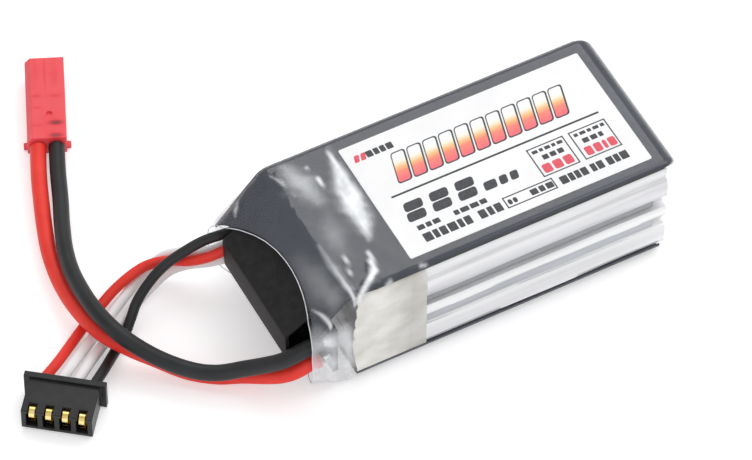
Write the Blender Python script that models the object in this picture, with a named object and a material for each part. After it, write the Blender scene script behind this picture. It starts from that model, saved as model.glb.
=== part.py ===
"""Three-cell lithium polymer battery pack with a two-way power plug and a four-way balance plug.

The pack lies on its broad face. +X points to its closed rear end, away from the leads, +Y across
it and +Z up. The origin is the middle of the pack's footprint, on the surface it lies on.
"""
import math

import bmesh
import bpy
import numpy as np
from mathutils import Matrix, Vector

MM = 0.001

# --- Driving sizes -------------------------------------------------------------------------------
PACK_LENGTH = 65.0 * MM
PACK_WIDTH = 29.0 * MM
PACK_HEIGHT = 21.0 * MM

GAP = 0.25 * MM              # between pieces that lie on each other
FILM = 0.25 * MM             # clear shrink film
CARD = 0.30 * MM             # stiff protective cards
LABEL = 0.10 * MM
TAPE = 0.20 * MM
ADHESIVE = 0.20 * MM

NOSE_LENGTH = 8.7 * MM       # sloping bay in front of the cells, where the leads come out
NOSE_TOP_SLOPE = 1.0         # drop of the top face for each unit forward
NOSE_BASE_SLOPE = 0.42       # rise of the bottom face for each unit forward
SHOULDER_SOFTNESS = 1.0 * MM
CORNER_RADIUS = 1.8 * MM     # long edges of the wrap
NOSE_CORNER_RADIUS = 3.2 * MM
REAR_RADIUS = 3.2 * MM       # where the wrap turns over the rear end
REAR_RIM = 4.0 * MM          # width of the film rim on the rear end
MOUTH_DEPTH = 5.1 * MM       # how far the film's front edge is drawn back at its deepest
MOUTH_MIDDLE = -2.5 * MM     # place across the pack where it is deepest

CARD_FLAP = 5.0 * MM         # how far the top card hangs over the rear end
CARD_SETBACK = 0.8 * MM      # top card's front edge behind the film's edge
CARD_FRONT = -28.6 * MM      # furthest forward that the top card reaches

LABEL_LENGTH = 40.7 * MM
LABEL_WIDTH = 23.1 * MM
LABEL_CENTRE = (8.1 * MM, -0.4 * MM)

TAPE_LENGTH = 11.2 * MM
TAPE_CORNER = 2.2 * MM       # outer radius of the bound stack's long edges
CELL_FRONT_CLEARANCE = 1.8 * MM   # cells' front behind the shoulder
CELL_REAR_CLEARANCE = 2.1 * MM    # cells' rear inside the film's rear end
SEAL = 0.35 * MM             # folded side seal of a pouch
SEAL_SLIT = 0.30 * MM        # between the folded seal and the pouch
SEAL_ROOT = 0.70 * MM        # height of the root that joins them
CELL_CORNER = 1.2 * MM
TERRACE_LENGTH = 2.0 * MM
TERRACE_INSET = 1.5 * MM

TAB_WIDTH = 4.0 * MM
TAB_THICKNESS = 0.2 * MM
TAB_SPREAD = 7.0 * MM        # tab centre from the middle of the cell
TAB_FOOT = 2.2 * MM

BOARD_THICKNESS = 0.8 * MM
BOARD_BASE = 3.6 * MM
BOARD_TOP_CLEARANCE = 7.8 * MM    # board's top edge under the pack's top face
BOARD_SIDE_CLEARANCE = 1.1 * MM   # board's ends inside the pack's sides
PAD_THICKNESS = 0.6 * MM
PAD_SIDE_CLEARANCE = 4.3 * MM
PAD_REAR_DEPTH = 3.2 * MM     # pad's rear edge under the nose's upper slope
PAD_FOLD_DEPTH = 0.4 * MM     # pad's front fold under the nose's upper slope
PAD_TURN_RISE = 2.598 * MM    # pad's lower turn over the nose's lower slope
PAD_FOOT_RISE = 1.312 * MM    # pad's lower end over the nose's lower slope
PAD_RADIUS = 0.9 * MM

MAIN_LEAD = 2.5 * MM         # outside diameters of the leads
BALANCE_LEAD = 1.6 * MM
MAIN_JOINT = 2.4 * MM        # base diameters of the solder joints
BALANCE_JOINT = 1.6 * MM
JOINT_LENGTH = 1.0 * MM

PLUG_POSITION = (-44.4 * MM, 45.2 * MM)
PLUG_TURN = math.radians(-24.2)
PLUG_LENGTH = 16.0 * MM
PLUG_WIDTH = 6.05 * MM
PLUG_BASE = 1.25 * MM
PLUG_TOP = 4.9 * MM
PLUG_PITCH = 2.8 * MM
PLUG_SHOULDER = (0.85 * MM, 1.0 * MM)   # bevel along one upper edge: across and down
PLUG_SOCKET = 2.0 * MM       # square way in the plug for each contact
PLUG_SOCKET_DEPTH = 10.5 * MM
PLUG_CONTACT = 1.4 * MM
PLUG_CONTACT_BORE = 0.8 * MM
PLUG_CONTACT_LENGTH = 9.0 * MM
PLUG_CONTACT_SETBACK = 1.0 * MM
PLUG_DIMPLE_RADIUS = 0.45 * MM

LATCH_THICKNESS = 0.7 * MM
LATCH_WIDTH = 3.4 * MM
LATCH_ROOT = 12.0 * MM       # hinge line, from the wire end of the plug
LATCH_EAR_SPAN = 7.3 * MM
LATCH_EAR = (1.5 * MM, 3.0 * MM)
LATCH_SLOPE = math.radians(1.2)

BALANCE_POSITION = (-61.6 * MM, 3.3 * MM)
BALANCE_TURN = math.radians(-38.0)
BALANCE_WAYS = 4
BALANCE_PITCH = 2.5 * MM
BALANCE_LENGTH = 7.0 * MM
BALANCE_BODY_MARGIN = 1.6 * MM    # from the outer contacts to the end walls' outer faces
BALANCE_BASE = 0.5 * MM
BALANCE_TOP = 4.5 * MM
BALANCE_FLANGE_SPAN = 12.4 * MM
BALANCE_FLANGE_HEIGHT = 5.0 * MM
BALANCE_FLANGE_DEPTH = 1.0 * MM
BALANCE_SOCKET = (1.7 * MM, 2.8 * MM)
BALANCE_SOCKET_DEPTH = 5.0 * MM
BALANCE_SLOT = (1.2 * MM, 1.7 * MM)
BALANCE_CONTACT_LENGTH = 4.4 * MM
BALANCE_CONTACT_BORE = 0.64 * MM

# --- Places worked out from them -----------------------------------------------------------------
NOSE_X = -PACK_LENGTH / 2
REAR_X = PACK_LENGTH / 2
SHOULDER_X = NOSE_X + NOSE_LENGTH
LABEL_DEPTH = FILM + GAP
TOP_CARD_DEPTH = LABEL_DEPTH + LABEL + GAP
BASE_CARD_DEPTH = FILM + GAP
TAPE_TOP = PACK_HEIGHT - TOP_CARD_DEPTH - CARD - GAP
TAPE_BASE = BASE_CARD_DEPTH + CARD + GAP
TAPE_HALF_WIDTH = PACK_WIDTH / 2 - FILM - GAP
TAPE_FRONT = SHOULDER_X + CELL_FRONT_CLEARANCE
STACK_BASE = TAPE_BASE + TAPE + GAP
STACK_TOP = TAPE_TOP - TAPE - GAP
CELL_SPACING = ADHESIVE + 2 * GAP
CELL_THICKNESS = (STACK_TOP - STACK_BASE - 2 * CELL_SPACING) / 3
CELL_HALF_WIDTH = TAPE_HALF_WIDTH - TAPE - GAP
CUP_HALF_WIDTH = CELL_HALF_WIDTH - SEAL - SEAL_SLIT
CELL_FRONT = TAPE_FRONT
CELL_REAR = REAR_X - CELL_REAR_CLEARANCE
TERRACE_FRONT = CELL_FRONT - TERRACE_LENGTH
TAB_FOOT_X = TERRACE_FRONT - 2 * GAP - TAB_THICKNESS
BOARD_REAR = TAB_FOOT_X - TAB_THICKNESS - GAP
BOARD_FRONT = BOARD_REAR - BOARD_THICKNESS
JOINT_BACK = BOARD_FRONT - GAP
LEAD_START_X = JOINT_BACK - JOINT_LENGTH - GAP

# Each cell: its name, and the heights over its own base of its folded seal's two edges and its root.
CELLS = (
    ("cell_bottom", 1.1 * MM, 2.7 * MM, 1.6 * MM),
    ("cell_middle", -0.5 * MM, 2.5 * MM, 1.3 * MM),
    ("cell_top", -1.6 * MM, 2.8 * MM, 1.6 * MM),
)


def clear_scene():
    """Remove whatever the file starts with."""
    for item in list(bpy.data.objects):
        bpy.data.objects.remove(item, do_unlink=True)


def finish(name, colour, roughness, metallic=0.0):
    """A plain Principled material."""
    material = bpy.data.materials.new(name)
    material.use_nodes = True
    shader = material.node_tree.nodes["Principled BSDF"]
    shader.inputs["Base Color"].default_value = (*colour, 1.0)
    shader.inputs["Roughness"].default_value = roughness
    shader.inputs["Metallic"].default_value = metallic
    return material


def add_object(name, data, material):
    """Link a mesh or a curve as a named object with one material."""
    thing = bpy.data.objects.new(name, data)
    bpy.context.scene.collection.objects.link(thing)
    data.materials.append(material)
    return thing


def add_mesh(name, vertices, faces, material, smooth_angle=None):
    """Make an object from vertices and faces, with its faces turned outwards."""
    mesh = bpy.data.meshes.new(name)
    work = bmesh.new()
    corners = [work.verts.new(tuple(vertex)) for vertex in vertices]
    for face in faces:
        work.faces.new([corners[index] for index in face])
    bmesh.ops.recalc_face_normals(work, faces=work.faces)
    if work.calc_volume(signed=True) < 0:
        bmesh.ops.reverse_faces(work, faces=work.faces)
    work.to_mesh(mesh)
    work.free()
    if smooth_angle is not None:
        mesh.shade_smooth()
        mesh.set_sharp_from_angle(angle=smooth_angle)
    return add_object(name, mesh, material)


def box(name, low, high, material):
    """A block between two corners."""
    vertices = [(x, y, z) for x in (low[0], high[0]) for y in (low[1], high[1]) for z in (low[2], high[2])]
    faces = [(0, 1, 3, 2), (4, 6, 7, 5), (0, 4, 5, 1), (2, 3, 7, 6), (0, 2, 6, 4), (1, 5, 7, 3)]
    return add_mesh(name, vertices, faces, material)


def prism(name, outline, start, end, place, material, smooth_angle=None):
    """Extrude a flat outline; place(u, v, w) turns outline point and distance into a position."""
    count = len(outline)
    vertices = [place(u, v, w) for w in (start, end) for u, v in outline]
    sides = [(i, (i + 1) % count, (i + 1) % count + count, i + count) for i in range(count)]
    caps = [tuple(range(count)), tuple(range(2 * count - 1, count - 1, -1))]
    return add_mesh(name, vertices, sides + caps, material, smooth_angle)


def along_x(u, v, w):
    """Outline across the pack, extruded along it."""
    return (w, u, v)


def along_y(u, v, w):
    """Outline along the pack, extruded across it."""
    return (u, w, v)


def along_z(u, v, w):
    """Outline seen from above, extruded upwards."""
    return (u, v, w)


def cut(target, tool, operation="DIFFERENCE"):
    """Cut a tool out of the target, or join it on, and hide the tool."""
    modifier = target.modifiers.new(tool.name, "BOOLEAN")
    modifier.object = tool
    modifier.operation = operation
    tool.hide_render = True
    tool.display_type = "WIRE"


def place_under(parent, things):
    """Hang objects under an empty, so that they share its place and turn."""
    for thing in things:
        thing.parent = parent


# --- The wrapped form of the pack ----------------------------------------------------------------
def ring_codes(corner_steps=4, across=6):
    """Codes a, b, c, d of points round a rounded rectangle, from the near side over the top.

    A point lies at y = a (w - r) + b r and z = middle + c (h - r) + d r, for half sizes w and h.
    """
    codes = []
    turns = np.linspace(0.0, 1.0, corner_steps + 1)
    spans = np.linspace(-1.0, 1.0, across + 2)[1:-1]
    for turn in turns:
        angle = math.pi - turn * math.pi / 2
        codes.append((-1.0, math.cos(angle), 1.0, math.sin(angle)))
    codes += [(span, 0.0, 1.0, 1.0) for span in spans]
    for turn in turns:
        angle = math.pi / 2 - turn * math.pi / 2
        codes.append((1.0, math.cos(angle), 1.0, math.sin(angle)))
    codes.append((1.0, 1.0, 0.0, 0.0))
    for turn in turns:
        angle = -turn * math.pi / 2
        codes.append((1.0, math.cos(angle), -1.0, math.sin(angle)))
    codes += [(-span, 0.0, -1.0, -1.0) for span in spans]
    for turn in turns:
        angle = -math.pi / 2 - turn * math.pi / 2
        codes.append((-1.0, math.cos(angle), -1.0, math.sin(angle)))
    codes.append((-1.0, -1.0, 0.0, 0.0))
    return np.array(codes)


def soft_ramp(distance):
    """Distance past an edge, rounded where it starts."""
    near = np.clip(distance + SHOULDER_SOFTNESS, 0.0, 2 * SHOULDER_SOFTNESS)
    return near ** 2 / (4 * SHOULDER_SOFTNESS) + np.maximum(distance - SHOULDER_SOFTNESS, 0.0)


def wrap_ring(codes, x, depth, inset=0.0):
    """Points of the wrap at each x, a depth under its outer face and drawn in by an inset."""
    ahead = soft_ramp(SHOULDER_X - x)
    share = np.clip(ahead / NOSE_LENGTH, 0.0, 1.0)
    turn_radius = REAR_RADIUS - depth
    past = np.clip(x - (REAR_X - REAR_RADIUS), 0.0, turn_radius)
    drawn_in = inset + turn_radius - np.sqrt(turn_radius ** 2 - past ** 2)
    top_depth = depth * (1 + share * (math.hypot(1, NOSE_TOP_SLOPE) - 1))
    base_depth = depth * (1 + share * (math.hypot(1, NOSE_BASE_SLOPE) - 1))
    half_width = PACK_WIDTH / 2 - depth - drawn_in
    top = PACK_HEIGHT - NOSE_TOP_SLOPE * ahead - top_depth - drawn_in
    base = NOSE_BASE_SLOPE * ahead + base_depth + drawn_in
    radius = CORNER_RADIUS + share * (NOSE_CORNER_RADIUS - CORNER_RADIUS)
    radius = np.maximum(radius - depth - drawn_in, 0.3 * MM)
    half_height = (top - base) / 2
    y = codes[:, 0] * (half_width - radius) + codes[:, 1] * radius
    z = (top + base) / 2 + codes[:, 2] * (half_height - radius) + codes[:, 3] * radius
    return np.stack([x, y, z], axis=1)


def mouth_x(y):
    """Place of the film's front edge: an arc drawn back in the middle, forward at the far side."""
    reach = (y - MOUTH_MIDDLE) / (PACK_WIDTH / 2 - MOUTH_MIDDLE)
    return NOSE_X + MOUTH_DEPTH * (1 - reach ** 2)


def wrap_stations(codes, depth, front_setback, flap, furthest=NOSE_X):
    """Rings from the mouth over the shoulder, along the pack, round the rear and onto its end."""
    ones = np.ones(len(codes))
    y = wrap_ring(codes, SHOULDER_X * ones, depth)[:, 1]
    front = np.maximum(mouth_x(y) + front_setback, furthest)
    rings = [wrap_ring(codes, front + share * (SHOULDER_X - front), depth)
             for share in (0.0, 0.3, 0.6, 0.85, 1.0)]
    rings.append(wrap_ring(codes, (SHOULDER_X + 1.0 * MM) * ones, depth))
    rings.append(wrap_ring(codes, (SHOULDER_X + 3.0 * MM) * ones, depth))
    turn_radius = REAR_RADIUS - depth
    for angle in np.radians((0, 22.5, 45, 67.5, 90)):
        x = REAR_X - REAR_RADIUS + turn_radius * math.sin(angle)
        rings.append(wrap_ring(codes, x * ones, depth))
    rings.append(wrap_ring(codes, (REAR_X - depth) * ones, depth, flap))
    return np.array(rings)


def shell(name, outer, inner, closed, material):
    """A thin solid between two grids of points; closed joins each ring's ends."""
    rows, columns = outer.shape[:2]
    vertices = np.concatenate([outer.reshape(-1, 3), inner.reshape(-1, 3)])
    offset = rows * columns
    faces = []
    last = columns if closed else columns - 1
    for row in range(rows - 1):
        for column in range(last):
            after = (column + 1) % columns
            a, b = row * columns + column, row * columns + after
            c, d = (row + 1) * columns + after, (row + 1) * columns + column
            faces += [(a, b, c, d), (a + offset, d + offset, c + offset, b + offset)]
    for row in (0, rows - 1):
        for column in range(last):
            a, b = row * columns + column, row * columns + (column + 1) % columns
            faces.append((a, b, b + offset, a + offset))
    if not closed:
        for column in (0, columns - 1):
            for row in range(rows - 1):
                a, b = row * columns + column, (row + 1) * columns + column
                faces.append((a, b, b + offset, a + offset))
    return add_mesh(name, vertices, faces, material, math.radians(40))


def make_sleeve(material):
    """Clear shrink film, open at the mouth and inside the rim on the rear end."""
    codes = ring_codes()
    outer = wrap_stations(codes, 0.0, 0.0, REAR_RIM)
    inner = wrap_stations(codes, FILM, 0.0, REAR_RIM)
    return shell("shrink_sleeve", outer, inner, True, material)


def card_codes(upper):
    """The part of the ring that a card covers: one broad face and the long edges beside it."""
    codes = ring_codes()
    return codes[codes[:, 2] > 0.5] if upper else codes[codes[:, 2] < -0.5]


def make_top_card(material):
    """Dark stiff card over the cells, folded down the nose and over the rear end."""
    codes = card_codes(True)
    grids = [wrap_stations(codes, depth, CARD_SETBACK, CARD_FLAP, CARD_FRONT)
             for depth in (TOP_CARD_DEPTH, TOP_CARD_DEPTH + CARD)]
    return shell("top_card", grids[0], grids[1], False, material)


def make_bottom_card(material):
    """Flat stiff card under the cells, rounded up at its long edges."""
    codes = card_codes(False)
    grids = []
    for depth in (BASE_CARD_DEPTH, BASE_CARD_DEPTH + CARD):
        rows = [wrap_ring(codes, np.full(len(codes), x), depth) for x in (TAPE_FRONT, REAR_X - REAR_RADIUS)]
        grids.append(np.array(rows))
    return shell("bottom_card", grids[0], grids[1], False, material)


def make_label(material):
    """Printed label on the top card, with rounded corners."""
    corner = 1.0 * MM
    outline = []
    for x_side, y_side, first in ((1, 1, 0), (-1, 1, 90), (-1, -1, 180), (1, -1, 270)):
        for step in (0, 30, 60, 90):
            angle = math.radians(first + step)
            x = LABEL_CENTRE[0] + x_side * (LABEL_LENGTH / 2 - corner) + corner * math.cos(angle)
            y = LABEL_CENTRE[1] + y_side * (LABEL_WIDTH / 2 - corner) + corner * math.sin(angle)
            outline.append((x, y))
    top = PACK_HEIGHT - LABEL_DEPTH
    return prism("label", outline, top - LABEL, top, along_z, material)


def make_tape(material):
    """Fibre tape bound round the three cells behind the shoulder."""
    codes = ring_codes(3, 0)
    middle, half_height = (TAPE_TOP + TAPE_BASE) / 2, (TAPE_TOP - TAPE_BASE) / 2

    def ring(x, depth):
        radius = TAPE_CORNER - depth
        y = codes[:, 0] * (TAPE_HALF_WIDTH - depth - radius) + codes[:, 1] * radius
        z = middle + codes[:, 2] * (half_height - depth - radius) + codes[:, 3] * radius
        return np.stack([np.full(len(codes), x), y, z], axis=1)

    grids = [np.array([ring(x, depth) for x in (TAPE_FRONT, TAPE_FRONT + TAPE_LENGTH)])
             for depth in (0.0, TAPE)]
    return shell("fibre_tape", grids[0], grids[1], True, material)


# --- Cells and what joins them -------------------------------------------------------------------
def cell_outline(base, seal_low, seal_high, root):
    """Section of a pouch cell: a rounded cup with its side seals folded up against both sides."""
    top = base + CELL_THICKNESS
    seal_inner, seal_outer = CELL_HALF_WIDTH - SEAL, CELL_HALF_WIDTH
    root_low, root_high = root - SEAL_ROOT / 2, root + SEAL_ROOT / 2
    half = []
    for step in (0, 30, 60, 90):
        angle = math.radians(-90 + step)
        half.append((CUP_HALF_WIDTH - CELL_CORNER + CELL_CORNER * math.cos(angle),
                     base + CELL_CORNER + CELL_CORNER * math.sin(angle)))
    half += [(CUP_HALF_WIDTH, root_low), (seal_inner, root_low), (seal_inner, seal_low),
             (seal_outer, seal_low), (seal_outer, seal_high), (seal_inner, seal_high),
             (seal_inner, root_high), (CUP_HALF_WIDTH, root_high)]
    for step in (0, 30, 60, 90):
        angle = math.radians(step)
        half.append((CUP_HALF_WIDTH - CELL_CORNER + CELL_CORNER * math.cos(angle),
                     top - CELL_CORNER + CELL_CORNER * math.sin(angle)))
    return half + [(-y, z) for y, z in reversed(half)]


def cell_base(index):
    """Height of a cell's lower face."""
    return STACK_BASE + index * (CELL_THICKNESS + CELL_SPACING)


def make_cells(material):
    """Three pouch cells, each with the terrace that its tabs come out of."""
    cells = []
    for index, (name, seal_low, seal_high, root) in enumerate(CELLS):
        base = cell_base(index)
        middle = base + root
        outline = cell_outline(base, base + seal_low, base + seal_high, middle)
        cell = prism(name, outline, CELL_FRONT, CELL_REAR, along_x, material)
        half_width = CUP_HALF_WIDTH - TERRACE_INSET
        terrace = box(name + "_terrace", (TERRACE_FRONT, -half_width, middle - SEAL_ROOT / 2),
                      (CELL_FRONT + 1.0 * MM, half_width, middle + SEAL_ROOT / 2), material)
        cut(cell, terrace, "UNION")
        cells.append(cell)
    return cells


def make_adhesives(material):
    """Double-sided sheets that hold the cells together."""
    for index, name in enumerate(("adhesive_lower", "adhesive_upper")):
        base = cell_base(index + 1) - GAP - ADHESIVE
        half_width = CUP_HALF_WIDTH - 2 * CELL_CORNER
        box(name, (CELL_FRONT + 4 * MM, -half_width, base),
            (CELL_REAR - 4 * MM, half_width, base + ADHESIVE), material)


def make_tabs(positive, negative):
    """A pair of tabs for each cell, bent down or up against the back of the board."""
    for index, (name, _, _, root) in enumerate(CELLS):
        height = cell_base(index) + root
        lift = -1 if index == 2 else 1
        outline = [(TERRACE_FRONT - GAP, height), (TAB_FOOT_X, height),
                   (TAB_FOOT_X, height + lift * TAB_FOOT),
                   (TAB_FOOT_X - TAB_THICKNESS, height + lift * TAB_FOOT),
                   (TAB_FOOT_X - TAB_THICKNESS, height - lift * TAB_THICKNESS),
                   (TERRACE_FRONT - GAP, height - lift * TAB_THICKNESS)]
        flip = 1 if index % 2 == 0 else -1
        for side, kind, material in ((flip, "plus", positive), (-flip, "minus", negative)):
            middle = side * TAB_SPREAD
            prism(name.replace("cell", "tab") + "_" + kind, outline, middle - TAB_WIDTH / 2,
                  middle + TAB_WIDTH / 2, along_y, material)


def make_board(material):
    """Small board that joins the tabs to the leads."""
    half_width = PACK_WIDTH / 2 - BOARD_SIDE_CLEARANCE
    box("terminal_board", (BOARD_FRONT, -half_width, BOARD_BASE),
        (BOARD_REAR, half_width, PACK_HEIGHT - BOARD_TOP_CLEARANCE), material)


def make_solder_joints(material):
    """A short solder cone on the board's front face for each lead."""
    turn = Matrix.Rotation(math.radians(-90), 4, "Y")
    for name, (lead_diameter, _) in LEAD_ROUTES.items():
        diameter = MAIN_JOINT if lead_diameter == MAIN_LEAD else BALANCE_JOINT
        mesh = bpy.data.meshes.new(name)
        work = bmesh.new()
        shift = Matrix.Translation((JOINT_BACK - JOINT_LENGTH / 2, *LEAD_STARTS[name]))
        bmesh.ops.create_cone(work, cap_ends=True, segments=12, radius1=diameter / 2, radius2=diameter / 3,
                              depth=JOINT_LENGTH, matrix=shift @ turn)
        work.to_mesh(mesh)
        work.free()
        mesh.shade_smooth()
        mesh.set_sharp_from_angle(angle=math.radians(40))
        add_object(name.replace("lead", "solder"), mesh, material)


def rounded_path(points, radius, steps=4):
    """A polyline with its inner corners turned into arcs."""
    path = [Vector(points[0])]
    for before, corner, after in zip(points, points[1:], points[2:]):
        corner = Vector(corner)
        back, ahead = (Vector(before) - corner).normalized(), (Vector(after) - corner).normalized()
        half = back.angle(ahead) / 2
        reach = radius / math.tan(half)
        centre = corner + (back + ahead).normalized() * (radius / math.sin(half))
        first, last = corner + back * reach - centre, corner + ahead * reach - centre
        turn = first.angle_signed(last)
        for step in range(steps + 1):
            path.append(centre + Matrix.Rotation(-turn * step / steps, 2) @ first)
    path.append(Vector(points[-1]))
    return path


def nose_top(x):
    """Height of the nose's upper slope at x."""
    return PACK_HEIGHT - NOSE_TOP_SLOPE * (SHOULDER_X - x)


def nose_base(x):
    """Height of the nose's lower slope at x."""
    return NOSE_BASE_SLOPE * (SHOULDER_X - x)


def make_end_pad(material):
    """Black fibre sheet folded over the terminals: it slopes down to the nose and back under it."""
    rear, fold = SHOULDER_X - 0.8 * MM, NOSE_X + 0.3 * MM
    turn, foot = NOSE_X + 0.6 * MM, SHOULDER_X - 1.4 * MM
    corners = [(rear, nose_top(rear) - PAD_REAR_DEPTH), (fold, nose_top(fold) - PAD_FOLD_DEPTH),
               (turn, nose_base(turn) + PAD_TURN_RISE), (foot, nose_base(foot) + PAD_FOOT_RISE)]
    outer = rounded_path(corners, PAD_RADIUS)
    inner = []
    for index, point in enumerate(outer):
        before, after = outer[max(index - 1, 0)], outer[min(index + 1, len(outer) - 1)]
        run = (after - before).normalized()
        inner.append(point + Vector((-run.y, run.x)) * PAD_THICKNESS)
    outline = [tuple(point) for point in outer + inner[::-1]]
    half_width = PACK_WIDTH / 2 - PAD_SIDE_CLEARANCE
    return prism("end_pad", outline, -half_width, half_width, along_y, material, math.radians(40))


# --- Leads ---------------------------------------------------------------------------------------
def smooth_route(points, spacing):
    """Evenly spaced points on a smooth curve through the route's own points."""
    points = np.array(points) * MM
    ends = np.vstack([2 * points[0] - points[1], points, 2 * points[-1] - points[-2]])
    t = np.linspace(0, 1, 24, endpoint=False)[:, None]
    pieces = []
    for a, b, c, d in zip(ends, ends[1:], ends[2:], ends[3:]):
        pieces.append(0.5 * (2 * b + (c - a) * t + (2 * a - 5 * b + 4 * c - d) * t ** 2
                             + (3 * b - a - 3 * c + d) * t ** 3))
    fine = np.vstack(pieces + [points[-1:]])
    travelled = np.concatenate([[0.0], np.cumsum(np.linalg.norm(np.diff(fine, axis=0), axis=1))])
    count = math.ceil(travelled[-1] / spacing) + 1
    places = np.linspace(0, travelled[-1], count)
    return np.stack([np.interp(places, travelled, fine[:, axis]) for axis in range(3)], axis=1)


def make_lead(name, route, diameter, material):
    """A silicone lead: a round tube along its route."""
    curve = bpy.data.curves.new(name, "CURVE")
    curve.dimensions = "3D"
    curve.bevel_depth = diameter / 2
    curve.bevel_resolution = 2
    curve.use_fill_caps = True
    points = smooth_route(route, 2.0 * diameter)
    spline = curve.splines.new("POLY")
    spline.points.add(len(points) - 1)
    for target, point in zip(spline.points, points):
        target.co = (*point, 1.0)
    return add_object(name, curve, material)


# Each lead: its diameter and the points its route passes, from its solder joint to its plug, in mm.
LEAD_ROUTES = {
    "main_lead_black": (MAIN_LEAD, (
        (-27.65, -12.3, 10.4), (-29.5, -12.3, 10.3), (-31.5, -12.0, 9.5), (-33.2, -11.2, 8.2),
        (-34.9, -9.9, 6.8), (-37.6, -8.1, 5.4), (-41.6, -6.1, 4.4), (-45.0, -3.4, 4.3),
        (-48.6, 0.6, 5.1), (-51.6, 5.5, 6.4), (-52.8, 11.8, 6.2), (-52.5, 18.9, 5.2),
        (-51.3, 24.5, 4.4), (-49.4, 29.7, 3.7), (-47.3, 34.6, 3.3), (-45.3, 39.6, 3.1),
        (-43.2, 44.4, 3.1))),
    "main_lead_red": (MAIN_LEAD, (
        (-27.65, -12.3, 6.5), (-29.5, -12.2, 6.3), (-31.5, -11.9, 5.4), (-33.2, -10.8, 4.2),
        (-35.0, -9.0, 3.0), (-37.6, -6.6, 1.9), (-40.9, -4.6, 1.4), (-44.3, -1.8, 1.4),
        (-47.8, 1.8, 2.4), (-50.7, 4.8, 3.4), (-53.1, 9.0, 3.6), (-54.1, 14.8, 3.1),
        (-54.0, 20.7, 2.5), (-53.1, 26.3, 2.4), (-51.7, 31.0, 2.6), (-49.8, 36.2, 2.9),
        (-48.0, 40.7, 3.1), (-45.8, 45.5, 3.1))),
    "balance_lead_black": (BALANCE_LEAD, (
        (-27.45, 12.6, 9.9), (-30.2, 12.7, 9.8), (-33.7, 13.4, 9.2), (-37.1, 13.7, 8.0),
        (-40.3, 13.7, 6.6), (-43.2, 13.1, 4.8), (-45.7, 11.9, 3.3), (-47.6, 10.2, 2.3),
        (-49.7, 8.3, 1.4), (-52.4, 6.3, 1.2), (-55.3, 3.7, 2.0), (-58.5, 1.2, 2.5))),
    "balance_lead_white_a": (BALANCE_LEAD, (
        (-27.45, 12.9, 7.2), (-30.0, 12.8, 7.15), (-32.3, 12.9, 6.8), (-34.3, 13.9, 6.3),
        (-36.3, 15.7, 5.4), (-38.1, 17.1, 4.2), (-39.8, 17.7, 2.8), (-41.6, 17.7, 1.6),
        (-44.0, 16.6, 1.0), (-46.3, 15.2, 0.9), (-49.2, 13.4, 0.9), (-52.5, 11.4, 0.9),
        (-55.5, 9.4, 1.1), (-58.7, 7.0, 1.9), (-62.4, 4.3, 2.5))),
    "balance_lead_white_b": (BALANCE_LEAD, (
        (-27.45, 11.5, 5.8), (-29.3, 11.5, 5.75), (-31.4, 11.8, 5.3), (-33.5, 12.8, 4.6),
        (-35.8, 14.5, 3.5), (-38.3, 15.8, 2.0), (-41.0, 15.4, 1.0), (-44.2, 13.9, 0.9),
        (-47.6, 11.9, 0.9), (-51.1, 9.9, 0.9), (-53.8, 8.1, 1.1), (-57.1, 5.5, 2.0),
        (-60.4, 2.8, 2.5))),
    "balance_lead_red": (BALANCE_LEAD, (
        (-27.45, 11.1, 8.4), (-29.5, 11.1, 8.35), (-32.2, 11.2, 7.9), (-34.4, 11.9, 7.1),
        (-36.5, 13.2, 6.2), (-38.2, 14.8, 5.5), (-39.8, 16.1, 4.7), (-41.8, 17.1, 3.6),
        (-44.4, 17.1, 2.7), (-47.6, 16.4, 1.7), (-50.9, 14.9, 1.0), (-54.0, 13.1, 0.9),
        (-57.3, 10.9, 1.0), (-60.6, 8.3, 1.9), (-64.25, 5.95, 2.5))),
}
LEAD_STARTS = {name: (points[0][1] * MM, points[0][2] * MM) for name, (_, points) in LEAD_ROUTES.items()}


def make_leads(colours):
    """Two power leads and four balance leads."""
    for name, (diameter, points) in LEAD_ROUTES.items():
        colour = "red" if "red" in name else "white" if "white" in name else "black"
        make_lead(name, points, diameter, colours[colour])


# --- Power plug ----------------------------------------------------------------------------------
def frame_at(name, position, turn):
    """An empty that a plug's pieces hang under."""
    empty = bpy.data.objects.new(name, None)
    bpy.context.scene.collection.objects.link(empty)
    empty.location = (*position, 0.0)
    empty.rotation_euler = (0.0, 0.0, turn)
    return empty


def plug_outline():
    """Section of the power plug, seen along it: a block whose upper edge over the red lead is bevelled."""
    half, (side, drop) = PLUG_WIDTH / 2, PLUG_SHOULDER
    return [(-half, PLUG_BASE), (half, PLUG_BASE), (half, PLUG_TOP), (-half + side, PLUG_TOP),
            (-half, PLUG_TOP - drop)]


def across_and_up(u, v, w):
    """Outline across a plug, extruded along it."""
    return (u, w, v)


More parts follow.
